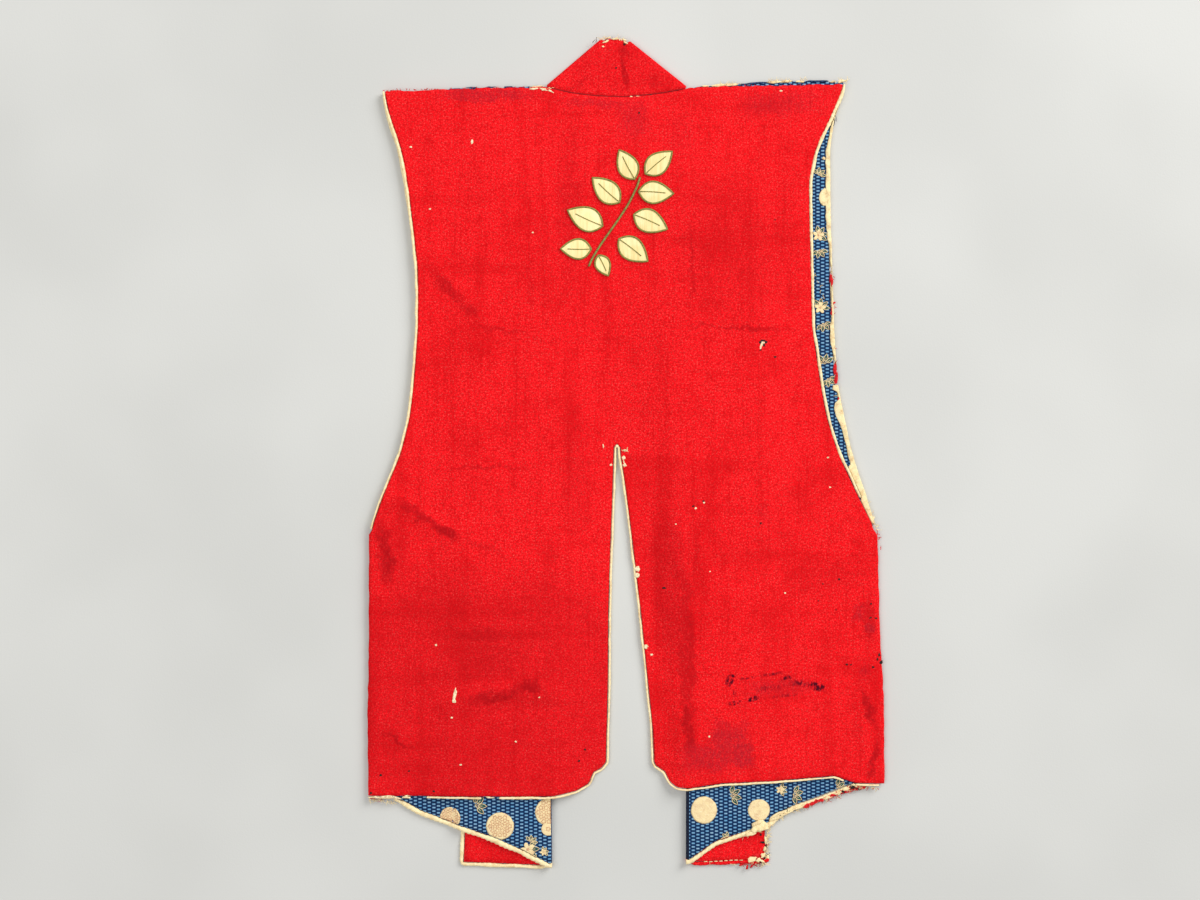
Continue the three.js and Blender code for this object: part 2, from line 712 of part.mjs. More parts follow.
function collarGrid() {
  const { left, right } = COLLAR_FOLDS;
  const across = [0, 1, 2, 3, 4, 5, 6, 7, 8].map((i) => i / 8);
  return COLLAR_ROWS.map((t) => {
    const back = across.map((share) => {
      const neckX = mix(left.foot[0], right.foot[0], share);
      const neck = [neckX, read(SHOULDER, 'x', 'back', neckX) + GAP];
      neck[1] = share === 0 ? left.foot[1] : neck[1];
      neck[1] = share === 1 ? right.foot[1] : neck[1];
      const top = collarTop(share);
      return { p: [mix(neck[0], top[0], t), mix(neck[1], top[1], t), COLLAR_LEVEL], n: [0, 0, 1] };
    });
    return [...collarUnder(left, t).reverse(), ...back, ...collarUnder(right, t)];
  }).reverse();
}

function makeCollarEdge() {
  const points = COLLAR_EDGE_STOPS.map((share) => {
    const [x, y] = collarTop(share);
    return { x, y, low: COLLAR_LEVEL - COLLAR_WALL / 2, high: COLLAR_LEVEL + COLLAR_WALL / 2 };
  });
  return strip(points.reverse(), COLLAR_EDGE);
}

// ---- The applique ------------------------------------------------------------------------

const LEAF_LEVEL = PANEL + BACK_WALL + GAP;

/** A pointed leaf, its tip and its foot on the x axis. */
function makeLeaf({ long, wide }) {
  const half = long / 2;
  const outline = new THREE.Shape();
  outline.moveTo(-half, 0);
  outline.quadraticCurveTo(-half * 0.35, -wide, half, 0);
  outline.quadraticCurveTo(-half * 0.35, wide, -half, 0);
  const leaf = new THREE.ExtrudeGeometry(outline, {
    depth: LEAF_THICK, bevelEnabled: false, curveSegments: 7,
  });
  return leaf;
}

function makeStem() {
  const points = STEM.map(({ x, y }) => ({
    x: x - STEM_WIDE / 2, y, low: LEAF_LEVEL, high: LEAF_LEVEL + LEAF_THICK,
  }));
  return strip(points, STEM_WIDE);
}

// ---- The garment -------------------------------------------------------------------------

const jinbaori = new THREE.Group();

function add(name, geometry, material) {
  const mesh = new THREE.Mesh(geometry, material);
  mesh.name = name;
  jinbaori.add(mesh);
  return mesh;
}

add('back', makeBack(), SCARLET_WOOL);
for (const [side, columns] of [[LEFT, backLeft], [RIGHT, backRight]]) {
  add(`front_${side.name}`, makeFront(side, WOOL_LAYER), SCARLET_WOOL);
  add(`lining_${side.name}`, makeFront(side, LINING_LAYER), BLUE_SILK);
  add(`binding_hem_${side.name}`, makeHemBinding(side, columns), CREAM_BINDING);
  add(`binding_armhole_${side.name}`, makeArmholeBinding(side, columns), CREAM_BINDING);
  add(`front_binding_${side.name}`, makeFrontBinding(side), CREAM_BINDING);
  add(`hem_band_${side.name}`, makeHemBand(side), CREAM_BINDING);
  add(`lapel_band_${side.name}`, makeLapelBand(side), CREAM_BINDING);
}
add('collar', wall(collarGrid(), COLLAR_WALL), SCARLET_WOOL);
add('collar_edge', makeCollarEdge(), CREAM_BINDING);
LEAVES.forEach((leaf, i) => {
  const mesh = add(`leaf_${i + 1}`, makeLeaf(leaf), CREAM_APPLIQUE);
  mesh.position.set(leaf.x, leaf.y, LEAF_LEVEL);
  mesh.rotation.z = THREE.MathUtils.degToRad(leaf.turn);
});
add('stem', makeStem(), OLIVE_CORD);

export default jinbaori;
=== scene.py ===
"""The looks of a jinbaori: a sleeveless wool coat, laid flat on its front with its lapels turned under.

Places and sizes are in millimetres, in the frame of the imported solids: the collar is towards +Y, the
wearer's left is -X and the floor is z = 0.
"""

import math
from types import SimpleNamespace

import bpy
import numpy as np
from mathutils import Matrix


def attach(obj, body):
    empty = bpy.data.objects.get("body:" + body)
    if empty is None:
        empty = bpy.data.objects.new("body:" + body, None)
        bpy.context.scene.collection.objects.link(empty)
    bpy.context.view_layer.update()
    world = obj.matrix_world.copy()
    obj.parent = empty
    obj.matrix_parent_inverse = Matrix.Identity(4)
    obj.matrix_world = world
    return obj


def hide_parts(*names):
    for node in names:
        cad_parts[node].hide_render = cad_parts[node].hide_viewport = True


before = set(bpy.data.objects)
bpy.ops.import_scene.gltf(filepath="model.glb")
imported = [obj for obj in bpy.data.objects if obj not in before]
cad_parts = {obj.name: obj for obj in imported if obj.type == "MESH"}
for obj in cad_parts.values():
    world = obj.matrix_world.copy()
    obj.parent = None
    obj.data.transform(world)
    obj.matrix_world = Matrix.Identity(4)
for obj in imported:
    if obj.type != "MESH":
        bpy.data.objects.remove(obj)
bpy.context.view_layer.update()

MM = 0.001

# ---- Camera: straight above, so that the stretch of cloth in view is 1320 mm wide --------------------

VIEW_CENTRE = (-28.6, 3.3)
VIEW_WIDTH = 1320.0
CLOTH_TOP = 7.0
LENS = 50.0
SENSOR = 36.0

camera_data = bpy.data.cameras.new("camera")
camera_data.lens = LENS
camera_data.sensor_width = SENSOR
camera = bpy.data.objects.new("camera", camera_data)
camera_height = CLOTH_TOP + VIEW_WIDTH * LENS / SENSOR
camera.location = [c * MM for c in (*VIEW_CENTRE, camera_height)]
bpy.context.scene.collection.objects.link(camera)
bpy.context.scene.camera = camera

# ---- Driving dimensions: the solids', apart from the vent's edges and the collar's top ---------------

GAP = 0.3
WOOL = 2.0
LINING = 1.0
BACK_WALL = WOOL + LINING
COLLAR_WALL = 3.0

BINDING = 3.0
HEM_BAND = 5.5
LAPEL_BAND = 4.4
COLLAR_EDGE = 2.0
PROUD = 0.4
FLOOR_CLEAR = 0.1

PANEL = WOOL + LINING + 2 * GAP
FOLD_MIDDLE = PANEL - GAP / 2
WOOL_TURN = PANEL + WOOL / 2 - FOLD_MIDDLE
LINING_TURN = PANEL + WOOL + GAP + LINING / 2 - FOLD_MIDDLE
FOLD_REACH = LINING_TURN + LINING / 2
INSET = GAP + BINDING
SEAM_HEIGHT = WOOL + GAP
BACK_TOP = PANEL + BACK_WALL
LINING_TOP = WOOL + GAP + LINING
LAPEL_TOP_FACE = PANEL - GAP

UNDERARM = -84.0
SEAM_START = -90.0
VENT_TOP = 10.0
VENT_OPEN = 3.0
CENTRE_BACK = -9.9
LAPEL_TOP = 300.0
LAPEL_SLOPE = 12.0
BACK_SLOPE = 48.0
COLLAR_END = 190.0
SINK_START = 185.0
SINK_END = 130.0
SIDE_MARGIN = 8.0
LINING_SHORT = 9.0
LINING_TAPER = -60.0
SHOULDER_Y = 400.0
BACK_HEM_Y = -375.0
FRONT_HEM_Y = -400.0
LAPEL_HEM_Y = -450.0
FOLD_TOP_Y = 402.0
FOLD_HEM_Y = -456.0
HEM_TOP_Y = -396.0


def table(names, rows):
    """A small table as one array for each named column."""
    return dict(zip(names.split(), np.array(rows, float).T))


OUTLINE = table("y back_left front_left back_right front_right", [
    (400, -269.5, -269.5, 242, 243),
    (370, -263, -264.5, 228.3, 230),
    (335, -250.5, -252.5, 212, 225),
    (300, -244.2, -246, 204.6, 225.5),
    (260, -238.7, -239.5, 205.2, 225.5),
    (200, -232.1, -231, 206.8, 227.7),
    (140, -232.1, -231, 207.9, 229.4),
    (80, -236.5, -235.5, 216.7, 233.2),
    (40, -240.9, -239.9, 223.9, 240.4),
    (0, -250.8, -249.8, 236.5, 249.2),
    (-45, -269.5, -268.5, 257.4, 264),
    (-84, -283.3, -283.3, 276.7, 276.7),
    (-200, -283, -283, 280, 280),
    (-280, -284.6, -284.6, 284.4, 284.4),
    (-385, -284, -284, 284.6, 284.6),
])

SHOULDER = table("x back front", [
    (-269.5, 398.2, 398.4),
    (-235, 399, 400.2),
    (-160, 401.5, 403),
    (-88.5, 402.6, 404),
    (-85.8, 402, 404),
    (-60.5, 396, 404),
    (-31.9, 392.7, 404),
    (-2.2, 391.6, 404),
    (23.1, 393.8, 404),
    (39.6, 396, 404),
    (61.5, 399.9, 404),
    (67.5, 401.2, 403.5),
    (90, 402.6, 404.5),
    (160, 404.3, 409.2),
    (200, 405.2, 410.2),
    (243, 406, 408),
])

# The vent's edges with their bindings on: 2 to 3 mm nearer together than in the solids.
VENT = table("y left right", [
    (4, -10.1, -9.7),
    (-4, -10.5, -8.8),
    (-13, -10.9, -7.2),
    (-34, -11.3, -4.2),
    (-76, -12.9, 1.3),
    (-121, -14.6, 6.8),
    (-184, -16.4, 14.2),
    (-244, -16.6, 20.2),
    (-300, -17.8, 26),
    (-340, -19, 28),
])

BACK_HEM_LEFT = table("x y", [
    (-284, -380.6),
    (-80.3, -380.4),
    (-55, -375.1),
    (-40.7, -367.4),
    (-36.3, -355.3),
    (-27.5, -350.9),
    (-20.7, -342),
])

BACK_HEM_RIGHT = table("x y", [
    (28.9, -337),
    (33, -347.6),
    (42.9, -354.2),
    (48.4, -365.2),
    (56.1, -370.7),
    (68.2, -371.8),
    (107.8, -365.8),
    (160.6, -363.7),
    (205, -360.5),
    (231, -358.4),
    (244, -363.8),
    (252, -366.4),
    (285, -367.4),
])

FRONT_HEM_LEFT = table("x y", [
    (-284, -380.6),
    (-260, -382),
    (-244.2, -389.4),
    (-226.6, -399.3),
    (-191.4, -412.5),
    (-147.4, -427.4),
    (-112.2, -442.8),
    (-81.4, -459.2),
])

FRONT_HEM_RIGHT = table("x y", [
    (66, -455.5),
    (81.4, -444.4),
    (97.9, -432.3),
    (128.7, -422.4),
    (154, -413.6),
    (181.5, -394.9),
    (215.6, -382.8),
    (245.3, -370.7),
    (285, -367.4),
])

LEFT = SimpleNamespace(
    name="left", sign=-1, back="back_left", front="front_left", vent="left",
    fold_top=-88.5, fold_hem=-81.4, fold_hem_end=-459.2,
    lapel_top=62.0, lapel_hem=102.3, lapel_hem_y=-455.2, lapel_worn=0.0,
    back_hem=BACK_HEM_LEFT, front_hem=FRONT_HEM_LEFT,
)
RIGHT = SimpleNamespace(
    name="right", sign=1, back="back_right", front="front_right", vent="right",
    fold_top=67.5, fold_hem=66.0, fold_hem_end=-455.5,
    lapel_top=62.0, lapel_hem=87.5, lapel_hem_y=-452.5, lapel_worn=5.4,
    back_hem=BACK_HEM_RIGHT, front_hem=FRONT_HEM_RIGHT,
)
SIDES = (LEFT, RIGHT)

# Inside the folds the back sinks between the fronts: the width of its slope at a height y.
SINK = table("y left right", [
    (60, 74, 74),
    (-90, 62, 46),
    (-300, 52, 30),
])
SINK_LINES = (6.0, 14.0, 22.0)
VENT_STEPS = (0.12, 0.48, 0.6, 0.82, 1.0)

# Folds and creases of the back, as soft ridges and (below zero) troughs between two points.
CREASES = table("x1 y1 x2 y2 height width", [
    (-255, -51, -198, -91, 2.6, 11),
    (-268, -76, -250, -130, 1.4, 12),
    (-204, 198, -168, 160, 1.6, 14),
    (-196, -278, -140, -262, 2.6, 12),
    (-140, -262, -84, -264, 2.6, 12),
    (-174, -196, -121, -194, 1.4, 16),
    (258, -262, 268, -345, 2.2, 11),
    (150, 60, 176, -40, 1.2, 20),
    (118, -110, 96, -230, 1.6, 18),
    (215, -150, 190, -190, 1.3, 15),
    (-248, -38, -205, -72, -0.9, 7),
    (-265, -69, -261, -84, -0.8, 5),
    (-199, 206, -162, 172, -0.7, 8),
    (-176, -254, -138, -246, -0.8, 8),
    (-134, -277, -84, -280, -1.3, 9),
    (36, -102, 66, -134, 0.9, 4.5),
    (44, -106, 74, -148, -0.7, 4.5),
    (52, -110, 80, -162, 0.9, 5),
    (50, -74, 58, -88, 0.8, 4),
    (255, -252, 273, -312, -0.9, 8),
    (274, -318, 266, -352, -0.8, 8),
    (68, -79, 81, -162, -0.8, 6),
    (79, -96, 90, -150, 0.8, 7),
    (-238, -170, -214, -260, 0.7, 14),
    (-70, 120, -58, -60, 0.6, 18),
    (40, 330, 52, 215, -0.5, 10),
    (-150, 60, -120, -50, -0.5, 16),
    (196, 300, 168, 190, 0.7, 14),
    (232, -260, 205, -330, 0.8, 13),
    (-262, -300, -215, -345, 0.8, 12),
    (-60, -120, -34, -300, 0.7, 12),
])

# Long slow waves of cloth that has been folded away for years.
WAVES = table("length direction phase height", [
    (310, 12, 0.4, 0.26),
    (190, 78, 2.1, 0.22),
    (133, 35, 4.4, 0.17),
    (97, 120, 1.2, 0.12),
    (71, 160, 3, 0.09),
    (46, 60, 5.2, 0.06),
])

COLLAR_FOLDS = SimpleNamespace(
    left=SimpleNamespace(foot=(-85.8, 402.3), head=(-25.2, 454.0)),
    right=SimpleNamespace(foot=(65.1, 401.2), head=(1.8, 451.8)),
)
COLLAR_RISE = 3.2      # how far the collar's top arches

LEAVES = table("x y long wide turn", [
    (36, 319, 40, 24, 40),
    (1, 317, 38, 23, 118),
    (33, 286, 40, 25, -4),
    (-22, 289, 42, 25, 138),
    (27, 254, 42, 26, -24),
    (-45, 258, 44, 27, 156),
    (8, 223, 42, 26, -38),
    (-55, 224, 35, 23, 180),
    (-25, 206, 26, 17, -64),
])
STEM = table("x y", [
    (-42, 205),
    (-30, 226),
    (-13, 250),
    (2, 272),
    (12, 292),
    (16, 303),
])
STEM_WIDE = 2.4
LEAF_THICK = 1.0

# ---- Reading the tables ------------------------------------------------------------------------------


def mix(a, b, t):
    """From a to b, a share t of the way."""
    return a + (b - a) * t


def ease(t):
    """0 to 1, starting and ending softly."""
    t = np.clip(t, 0, 1)
    return t * t * (3 - 2 * t)


def read(rows, key, value, at):
    """The table's `value` where its `key` is `at`, straight between the rows."""
    order = slice(None) if rows[key][0] < rows[key][-1] else slice(None, None, -1)
    return np.interp(at, rows[key][order], rows[value][order])


def read_smooth(rows, key, value, at, reach=9.0):
    """The same, with the corners between the rows rounded over `reach`."""
    sides = read(rows, key, value, at - reach) + read(rows, key, value, at + reach)
    return (sides + 2 * read(rows, key, value, at)) / 4


JITTER_REACH = 700     # every place that wanders lies within this of zero


def jitter(at, step, size, seed):
    """Uneven wandering of an edge: `size` either way, with a turn about every `step`."""
    stops = np.arange(-JITTER_REACH, JITTER_REACH, step)
    turns = np.random.default_rng(seed).uniform(-size, size, len(stops))
    return np.interp(at, stops, turns)


# How the edges wander: a turn about every so often, its size, and a seed of its own.
SHOULDER_FRAY = (3.1, 0.9, 11)
SHOULDER_WANDER = (14.0, 0.5, 12)
SIDE_WANDER = (7.0, 0.5, 13)
LINING_FRAY = (2.6, 0.5, 21)
FACING_FRAY = (6.0, 0.7, 91)
STITCH_WANDER = (3.0, 0.4, 95)
TUFT_WANDER = (5.0, 0.9, 97)


def fold_x(side, y):
    """The line where a front folds under into its lapel."""
    return mix(side.fold_hem, side.fold_top, np.clip((y - FOLD_HEM_Y) / (FOLD_TOP_Y - FOLD_HEM_Y), 0, 1))


def lapel_x(side, y):
    """The edge of the lapel under a front."""
    top = fold_x(side, LAPEL_TOP) + side.sign * side.lapel_top
    hem = side.fold_hem + side.sign * side.lapel_hem
    return mix(hem, top, (y - FOLD_HEM_Y) / (LAPEL_TOP - FOLD_HEM_Y))


def slope_x(side, y):
    """Where a front has come down from its lapel to the floor."""
    return lapel_x(side, y) + side.sign * LAPEL_SLOPE


def edge_x(column, y):
    """The side edge of a panel."""
    return read_smooth(OUTLINE, "y", column, y)


def lapel_lift(side, x, y):
    """How far the lapel below lifts a front."""
    across = ease(side.sign * (slope_x(side, y) - x) / LAPEL_SLOPE)
    down = ease((LAPEL_TOP + LAPEL_SLOPE - y) / LAPEL_SLOPE)
    return PANEL * across * down


def back_lift(side, x, y):
    """The back's own rise over a lapel: it spans the step below it in a long slope."""
    across = ease(side.sign * (lapel_x(side, y) + side.sign * BACK_SLOPE - x) / BACK_SLOPE)
    down = ease((LAPEL_TOP + BACK_SLOPE - y) / BACK_SLOPE)
    return np.maximum(PANEL * across * down, lapel_lift(side, x, y))


def creases(x, y):
    """Height of the creases at a place."""
    total = np.zeros(np.broadcast(x, y).shape)
    for x1, y1, x2, y2, height, width in zip(*CREASES.values()):
        along = ((x - x1) * (x2 - x1) + (y - y1) * (y2 - y1)) / ((x2 - x1) ** 2 + (y2 - y1) ** 2)
        t = np.clip(along, 0, 1)
        away = np.hypot(x - mix(x1, x2, t), y - mix(y1, y2, t))
        total = total + height * np.exp(-((away / width) ** 2))
    return total


def waves(x, y):
    """Slow waves, never below zero."""
    total = np.zeros(np.broadcast(x, y).shape)
    for length, direction, phase, height in zip(*WAVES.values()):
        turn = math.radians(direction)
        along = x * math.cos(turn) + y * math.sin(turn)
        total = total + height * (1 + np.sin(2 * math.pi * along / length + phase))
    return total


def back_underside(side, x, y):
    """Height of the back's lower face: over a front outside its fold, sunk to the floor inside it."""
    inside = side.sign * (fold_x(side, y) - x)
    to_edge = side.sign * (edge_x(side.back, y) - x)
    closing = np.where(y < SEAM_START - 1, 1 - ease(to_edge / SIDE_MARGIN), 0)
    over_front = PANEL + back_lift(side, x, y) - closing * (PANEL - SEAM_HEIGHT)
    sunk = ease((SINK_START - y) / (SINK_START - SINK_END))
    left = 1 - ease(inside / read(SINK, "y", side.name, y))
    stack = PANEL + back_lift(side, fold_x(side, y), y)
    between = mix(PANEL * (1 - sunk), stack, left)
    return np.where(inside <= 0, over_front, between) + creases(x, y) * (1 - closing) + waves(x, y)


def back_top(x, y):
    """Height of the wool's face on the back."""
    side_left = back_underside(LEFT, x, y)
    side_right = back_underside(RIGHT, x, y)
    return np.where(np.asarray(x) < CENTRE_BACK, side_left, side_right) + BACK_WALL


FRONT_WAVES = 0.5      # share of the slow waves that the fronts have


def front_lift(side, x, y):
    """Height of a front's lower face."""
    return lapel_lift(side, x, y) + FRONT_WAVES * waves(x, y)


def lining_top(x, y):
    """Height of the lining's face on the fronts."""
    side = LEFT if np.mean(x) < CENTRE_BACK else RIGHT
    return front_lift(side, x, y) + LINING_TOP


# ---- Colours and the node helper ---------------------------------------------------------------------


def linear(code):
    """An sRGB hex colour as Blender's linear numbers."""
    channels = [int(code[i:i + 2], 16) / 255 for i in (1, 3, 5)]
    return [c / 12.92 if c <= 0.04045 else ((c + 0.055) / 1.055) ** 2.4 for c in channels] + [1.0]


def add(tree, kind, links=None, **settings):
    """One node, its settings, and its inputs: a socket is linked, anything else is a fixed value."""
    node = tree.nodes.new("ShaderNode" + kind)
    for name, value in settings.items():
        setattr(node, name, value)
    for name, value in (links or {}).items():
        socket = node.inputs[name]
        if isinstance(value, bpy.types.NodeSocket):
            tree.links.new(value, socket)
        else:
            socket.default_value = value
    return node


def new_material(name):
    """An empty material, its nodes, and the place on the piece in metres."""
    material = bpy.data.materials.new(name)
    material.use_nodes = True
    tree = material.node_tree
    tree.nodes.clear()
    place = add(tree, "TexCoord").outputs["Object"]
    return material, tree, place


def per(size):
    """Scale of a noise whose patches are about `size` millimetres wide."""
    return 1 / (size * MM)


def layer(tree, below, above, share, low, high, most=1.0):
    """Colour `above` laid over colour `below`, coming in as `share` goes from `low` to `high`."""
    amount = add(tree, "MapRange", {"Value": share, "From Min": low, "From Max": high, "To Max": most},
                 interpolation_type="SMOOTHSTEP")
    over = add(tree, "Mix", {0: amount.outputs["Result"], 6: below, 7: above}, data_type="RGBA")
    return over.outputs[2]


def finish_material(tree, colour, height, depth, **fixed):
    """The cloth's shader, its bump `depth` millimetres high, and its fixed values."""
    bump = add(tree, "Bump", {"Height": height, "Strength": 1.0, "Distance": depth * MM})
    shader = add(tree, "BsdfPrincipled", {"Base Color": colour, "Normal": bump.outputs["Normal"]})
    for name, value in fixed.items():
        shader.inputs[name.replace("_", " ")].default_value = value
    output = add(tree, "OutputMaterial")
    tree.links.new(shader.outputs["BSDF"], output.inputs["Surface"])


# ---- Materials ---------------------------------------------------------------------------------------

SCARLET = "#FF141E"
SCARLET_DEEP = "#CC0810"
SCARLET_RUBBED = "#C2060C"
# pale fibre ends, partly painted glints of light on the fuzz
SCARLET_FIBRE_AND_GLINT = "#FF6C64"
# the darker scarlet of the painted shade along folds and creases
SCARLET_PAINTED_SHADE = "#A80A12"
SOIL_BROWN = "#901C2A"
INK_BLACK = "#46081A"

# The felt's tones, from fine to broad: how far a patch is drawn out across and upright, its size, its
# detail and roughness, the values of the noise where the tone comes in, and how much of it there is.
FELT = (
    (1.0, 1.0, 2.1, 3.0, 0.75, 0.40, 0.62, 0.90, SCARLET_DEEP),      # clumps of fulled fibre
    (0.22, 1.0, 1.7, 2.0, 0.5, 0.50, 0.76, 0.50, SCARLET_RUBBED),    # the weft under the nap
    (1.0, 0.22, 1.7, 2.0, 0.5, 0.50, 0.76, 0.55, SCARLET_RUBBED),    # the warp under the nap
    # the pale ends of fibre are partly painted glints of light on the fuzz
    (1.0, 1.0, 1.8, 4.0, 0.85, 0.52, 0.68, 0.75, SCARLET_FIBRE_AND_GLINT),     # pale ends of fibre
    (1.0, 0.05, 3.6, 3.0, 0.5, 0.52, 0.76, 0.40, SCARLET_RUBBED),    # fine upright streaks
    (1.0, 1.0, 13.0, 3.0, 0.6, 0.48, 0.72, 0.36, SCARLET_RUBBED),    # blotches a thumb wide
    (1.0, 0.08, 26.0, 2.0, 0.5, 0.50, 0.72, 0.36, SCARLET_RUBBED),   # upright and level bands, where
    (0.08, 1.0, 30.0, 2.0, 0.5, 0.52, 0.72, 0.30, SCARLET_RUBBED),   # it lay folded
    (1.0, 1.0, 70.0, 4.0, 0.6, 0.46, 0.74, 0.42, SCARLET_RUBBED),    # broad fading
)
FELT_RELIEF = (0, 3)   # the rows whose noise also stands up as relief

# Marks on the wool: middle, half sizes, turn, how soft the edge is, and how strong it is.
# Painted shade: darker scarlet along old folds and creases and in broad patches, where shade falls on the
# cloth.
PAINTED_FOLD_SHADE = table("x y wide high turn soft strength", [
    (-195, -270, 130, 165, 0, 0.5, 0.4),
    (-100, -265, 130, 160, 0, 0.5, 0.38),
    (-150, -230, 90, 50, 0, 1, 0.5),
    (-222, -172, 78, 92, -14, 1, 0.42),
    (-74, -170, 55, 92, 0, 1, 0.34),
    (-110, -150, 100, 50, -20, 1, 0.25),
    (-264, -110, 15, 60, 8, 1, 0.8),
    (-252, -112, 30, 70, 0, 1, 0.4),
    (-224, -70, 46, 9, -32, 1, 0.75),
    (-200, -86, 24, 10, -32, 1, 0.95),
    (-150, -106, 52, 5, -22, 1, 0.4),
    (-156, -198, 62, 19, 0, 1, 0.6),
    (-142, -266, 70, 13, 9, 1, 0.75),
    (-108, -257, 26, 10, 0, 1, 0.95),
    (-251, -316, 42, 5.5, -30, 1, 0.75),
    (-205, -338, 40, 5, -6, 1, 0.5),
    (-270, -260, 10, 90, 0, 1, 0.3),
    (44, -110, 40, 54, 0, 1, 0.42),
    (50, -150, 27, 110, 2, 0.7, 0.42),
    (66, -212, 11, 118, 1, 0.6, 0.55),
    (68, -300, 8, 40, 2, 0.8, 0.75),
    (76, -130, 4, 60, -2, 1, 0.4),
    (-15, 126, 222, 3.2, 2, 1, 0.3),
    (124, 138, 84, 4, 0, 1, 0.65),
    (118, 224, 104, 116, 0, 0.9, 0.3),
    (-105, 184, 4.5, 72, 0, 1, 0.35),
    (-55, -20, 30, 130, 0, 1, 0.34),
    (72, 214, 5, 86, 0, 1, 0.55),
    (-62, 270, 26, 140, 0, 1, 0.42),
    (-24, 250, 10, 130, 0, 1, 0.25),
    (268, -184, 13, 40, 0, 0.9, 0.55),
    (266, -280, 36, 6.5, -71, 1, 0.8),
    (273, -334, 34, 6.5, 78, 1, 0.8),
    (254, -300, 60, 9, -84, 1, 0.3),
    (215, -140, 70, 32, 0, 1, 0.3),
    (148, -100, 60, 26, 0, 1, 0.25),
    (-160, -16, 80, 3.2, 0, 1, 0.5),
    (-45, -190, 26, 110, 0, 1, 0.42),
    (-196, 182, 42, 10, -46, 1, 0.6),
    (-172, 158, 18, 8, -45, 1, 0.6),
    (-138, 134, 52, 5, -10, 1, 0.5),
    (-4, 424, 70, 30, 0, 0.5, 0.3),
    (-3, 443, 9, 11, 0, 1, 0.65),
    (-2, 420, 5, 32, 2, 1, 0.75),
    (-52, 408, 30, 8, 40, 1, 0.5),
    (32, 408, 34, 8, -25, 1, 0.45),
    (240, 60, 8, 60, 0, 1, 0.3),
    (-120, -356, 120, 14, 0, 0.8, 0.35),
    (190, -352, 90, 8, 0, 1, 0.3),
])
SOIL = table("x y wide high turn soft strength", [
    (-153, 394, 70, 10, 0, 0.8, 0.5),
    (-30, 384, 60, 8, 0, 0.9, 0.4),
    (8, 368, 26, 34, 0, 1, 0.4),
    (60, 350, 30, 40, 0, 1, 0.22),
    (170, 384, 66, 20, 3, 0.9, 0.38),
    (92, -334, 46, 24, 6, 0.9, 0.5),
    (112, -320, 27, 28, -8, 0.7, 0.5),
    (127, -331, 16, 17, 0, 0.6, 0.55),
    (106, -300, 18, 12, -30, 0.8, 0.4),
    (128, -304, 7, 14, -20, 0.7, 0.4),
    (168, -258, 52, 13, 3, 0.8, 0.34),
    (256, -176, 9, 13, 0, 0.9, 0.5),
    (268, -193, 6, 10, 0, 0.9, 0.5),
    (262, -240, 9, 16, 0, 1, 0.35),
    (150, -66, 10, 16, 0, 1, 0.25),
])
INK = table("x y wide high turn soft strength", [
    (113, -251, 5, 6, -30, 0.7, 1),
    (117, -245, 6, 2.4, 8, 0.7, 1),
    (119, -262, 2.4, 7, 0, 0.9, 0.7),
    (120, -274, 9, 3, 10, 0.7, 1),
    (139, -270, 8, 2.8, 12, 0.7, 1),
    (134, -247, 13, 2, 6, 0.9, 0.75),
    (160, -243, 20, 2.6, 6, 1, 0.75),
    (176, -247, 9, 4.4, 10, 0.9, 0.85),
    (190, -253, 15, 5, -6, 1, 0.75),
    (210, -257, 12, 5, -12, 0.7, 1),
    (158, -258, 24, 5, 3, 1, 0.5),
    (172, -267, 26, 2.6, 6, 1, 0.5),
])
CORNER = 4.0           # power of a squarer mark's outline
MARK_EDGE = 1.15       # a mark's outer end, as a share of its half size


def stain_and_shade_share(tree, place, rows, squarer):
    """Share of a mark at a place, the strongest of the rows."""
    share = 0.0
    for x, y, wide, high, turn, soft, strength in zip(*rows.values()):
        spot = add(tree, "Mapping", {"Vector": place, "Location": (x * MM, y * MM, 0),
                                     "Rotation": (0, 0, math.radians(turn)),
                                     "Scale": (wide * MM, high * MM, 1)}, vector_type="TEXTURE")
        away = add(tree, "VectorMath", {0: spot.outputs["Vector"]}, operation="LENGTH")
        if squarer:
            apart = add(tree, "VectorMath", {0: spot.outputs["Vector"]}, operation="ABSOLUTE")
            raised = add(tree, "VectorMath", {0: apart.outputs["Vector"], 1: (CORNER, CORNER, 1)},
                         operation="POWER")
            summed = add(tree, "VectorMath", {0: raised.outputs["Vector"], 1: (1, 1, 0)},
                         operation="DOT_PRODUCT")
            away = add(tree, "Math", {0: summed.outputs["Value"], 1: 1 / CORNER}, operation="POWER")
        here = add(tree, "MapRange", {"Value": away.outputs["Value"], "From Min": MARK_EDGE,
                                      "From Max": MARK_EDGE - soft, "To Max": strength},
                   interpolation_type="SMOOTHSTEP")
        share = add(tree, "Math", {0: share, 1: here.outputs["Result"]}, operation="MAXIMUM")
        share = share.outputs["Value"]
    return share


def wandering(tree, flat, far, size):
    """The place, shifted up to about `far` millimetres, so that a mark's edge is uneven."""
    noise = add(tree, "TexNoise", {"Vector": flat, "Scale": per(size), "Detail": 4.0, "Roughness": 0.65})
    shift = add(tree, "VectorMath", {0: noise.outputs["Color"], 1: (0.5, 0.5, 0.5)}, operation="SUBTRACT")
    shift = add(tree, "VectorMath", {0: shift.outputs["Vector"], "Scale": far * MM}, operation="SCALE")
    near = add(tree, "VectorMath", {0: flat, 1: shift.outputs["Vector"]}, operation="ADD")
    return add(tree, "VectorMath", {0: near.outputs["Vector"], 1: (1, 1, 0)},
               operation="MULTIPLY").outputs["Vector"]


# Each kind of mark: its rows, whether they are squarer than an oval, how far and how finely the edge
# wanders, how much is left where it was brushed off, and its colour.
MARKED = (
    # the painted fold shade, broken up like the stains
    (PAINTED_FOLD_SHADE, False, 26.0, 16.0, 0.7, SCARLET_PAINTED_SHADE),
    (SOIL, True, 22.0, 11.0, 0.6, SOIL_BROWN),
    (INK, True, 6.0, 4.0, 0.1, INK_BLACK),
)


